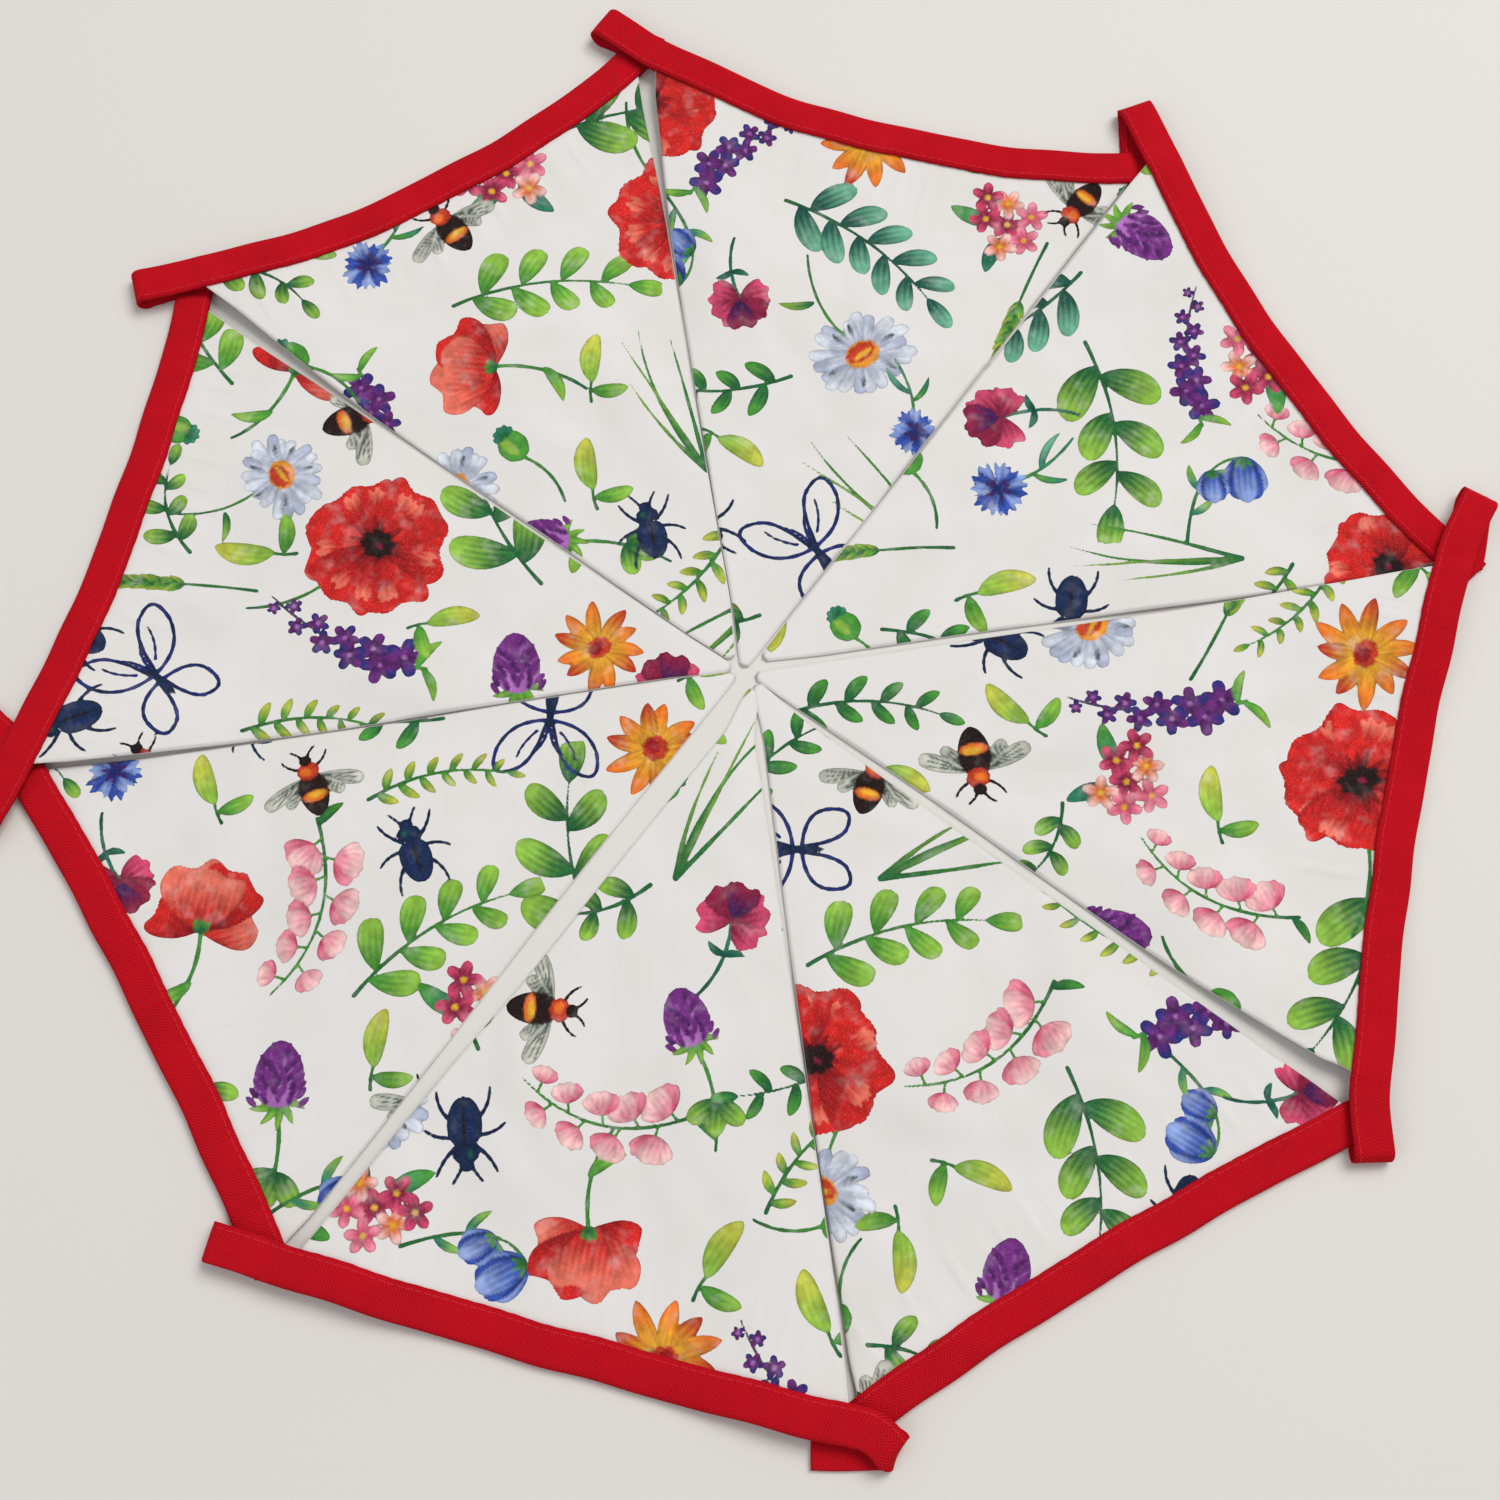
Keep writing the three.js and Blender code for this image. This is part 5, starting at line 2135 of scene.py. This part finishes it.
@dataclass(frozen=True)
class RedTwill:
    """Red cotton tape in a herringbone twill, with its own red stitching, in metres and shares."""

    colour: int = 0xC8101F
    # The colour of the rib valleys, painted darker as shade in the twill's hollows.
    valley_shade: int = 0x8E0914
    thread: int = 0xD42A36
    rib_shade: float = 0.55
    cloud_size: float = 0.018
    cloud_light: float = 0.5
    fuzz_size: float = 0.0006
    fuzz_light: float = 0.5
    full_colour: float = 0.75
    stitch_lines: Pair = (0.0016, 0.0234)
    thread_cover: float = 0.7
    rib_depth: float = 0.00012
    fuzz_depth: float = 0.0001
    thread_depth: float = 0.0002
    bump: float = 0.8
    roughness: float = 0.92
    gloss: float = 0.08

    def material(self, twill: Group, stitches: Group) -> bpy.types.Material:
        """Return the tape's material.

        The ribs' valleys are painted darker than their tops, as shade, and the tape is a little
        uneven all along.

        Args:
            twill: The herringbone.
            stitches: The row of stitches.

        Returns:
            The material, which reads the tape's UV map.
        """
        material, graph, shader = new_material("red_twill")
        uv = graph.cloth_place()
        ribs = twill.place(graph, {"Vector": uv}).outputs["Height"]
        cloud = graph.noise(uv, self.cloud_size, 3.0)
        fuzz = graph.noise(uv, self.fuzz_size)
        light = graph.sum(
            graph.times(ribs, self.rib_shade),
            graph.times(cloud, self.cloud_light),
            graph.times(graph.math("SUBTRACT", fuzz, 0.5), self.fuzz_light),
        )
        share = graph.step(light, 0.0, self.full_colour)
        # Painted shade: the rib valleys take the darker red. The cloud and the fuzz are the tape's own
        # uneven tone.
        cloth = graph.mix(share, solid(self.valley_shade), solid(self.colour))
        rows = [stitches.place(graph, {"Vector": uv, "Line": line}) for line in self.stitch_lines]
        sewn = graph.math("MAXIMUM", *(each.outputs["Mask"] for each in rows))
        colour = graph.mix(graph.times(sewn, self.thread_cover), cloth, solid(self.thread))
        height = graph.sum(
            graph.times(ribs, self.rib_depth),
            graph.times(fuzz, self.fuzz_depth),
            graph.times(sewn, self.thread_depth),
        )
        graph.surface(shader, colour, height, self.bump)
        shader.inputs["Roughness"].default_value = self.roughness
        shader.inputs["Specular IOR Level"].default_value = self.gloss
        return material


@dataclass(frozen=True)
class AreaLight:
    """A square soft light that points at the frame's origin."""

    name: str
    place: tuple[float, float, float]
    size: float
    power: float
    colour: Colour

    def add(self) -> None:
        """Add the light to the scene."""
        data = bpy.data.lights.new(self.name, "AREA")
        data.shape = "SQUARE"
        data.size = self.size
        data.energy = self.power
        data.color = self.colour
        light = bpy.data.objects.new(self.name, data)
        light.location = self.place
        aim = Vector((0.0, 0.0, 0.0)) - light.location
        light.rotation_euler = aim.to_track_quat("-Z", "Y").to_euler()
        bpy.context.scene.collection.objects.link(light)


@dataclass(frozen=True)
class Studio:
    """The plain pale floor, the soft light and the camera."""

    camera_place: tuple[float, float, float] = (0.02181, -0.24056, 0.67575)
    camera_tilt: tuple[float, float, float] = (17.4, 0.45, 0.0)
    lens: float = 51.6
    sensor: float = 36.0
    floor_half: float = 4.0
    floor_colour: int = 0xDCD9D3
    floor_roughness: float = 0.75
    window: AreaLight = AreaLight("window", (1.25, 1.15, 2.6), 1.8, 66.0, (1.0, 0.985, 0.96))
    fill: AreaLight = AreaLight("fill", (-1.2, -0.9, 1.4), 1.6, 6.0, (0.93, 0.96, 1.0))
    sky: Colour = (0.96, 0.97, 1.0)
    sky_strength: float = 0.45

    def add_camera(self) -> None:
        """Add the camera, nearly straight above, and make it the scene's."""
        data = bpy.data.cameras.new("camera")
        data.lens = self.lens
        data.sensor_width = self.sensor
        camera = bpy.data.objects.new("camera", data)
        camera.location = self.camera_place
        camera.rotation_euler = [math.radians(each) for each in self.camera_tilt]
        bpy.context.scene.collection.objects.link(camera)
        bpy.context.scene.camera = camera

    def add_floor(self) -> bpy.types.Object:
        """Add the floor that the object lies on.

        Returns:
            The floor's object.
        """
        half = self.floor_half / MM
        corners = np.array([[-half, -half, 0.0], [half, -half, 0.0], [half, half, 0.0], [-half, half, 0.0]])
        floor = mesh_object("floor", corners, [np.array([[0, 1, 2, 3]])])
        material, _, shader = new_material("floor")
        shader.inputs["Base Color"].default_value = solid(self.floor_colour)
        shader.inputs["Roughness"].default_value = self.floor_roughness
        floor.data.materials.append(material)
        return floor

    def add_lights(self) -> None:
        """Add a soft window light from the upper right, a weak fill, and a pale world."""
        self.window.add()
        self.fill.add()
        world = bpy.data.worlds.new("world")
        world.use_nodes = True
        background = world.node_tree.nodes["Background"]
        background.inputs["Color"].default_value = (*self.sky, 1.0)
        background.inputs["Strength"].default_value = self.sky_strength
        bpy.context.scene.world = world
        bpy.context.scene.view_settings.view_transform = "Standard"


def main() -> None:
    """Load the frame, then make the camera, the pieces, the floor and the light."""
    logging.basicConfig(level=logging.INFO, format="%(name)s: %(message)s")
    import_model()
    studio = Studio()
    studio.add_camera()
    flags = wheel_flags()
    cotton = PrintedCotton().material(plain_weave())
    red = RedTwill().material(herringbone(), stitch_row())
    for number, lie in enumerate(flags):
        front, back = FlowerPrint(FRONT_SEED + number), FlowerPrint(BACK_SEED + number)
        made = PrintedFlag(lie, front, back).build()
        made.data.materials.append(cotton)
        log.info("%s: %d faces", made.name, len(made.data.polygons))
    tails = {("flag_g", "first"): Tail(62, 20), ("flag_f", "last"): Tail(62, 42)}
    tape = BindingTape(flags, corner_loops(), tails).build()
    tape.data.materials.append(red)
    log.info("%s: %d faces", tape.name, len(tape.data.polygons))
    studio.add_floor()
    studio.add_lights()


if __name__ == "__main__":
    main()
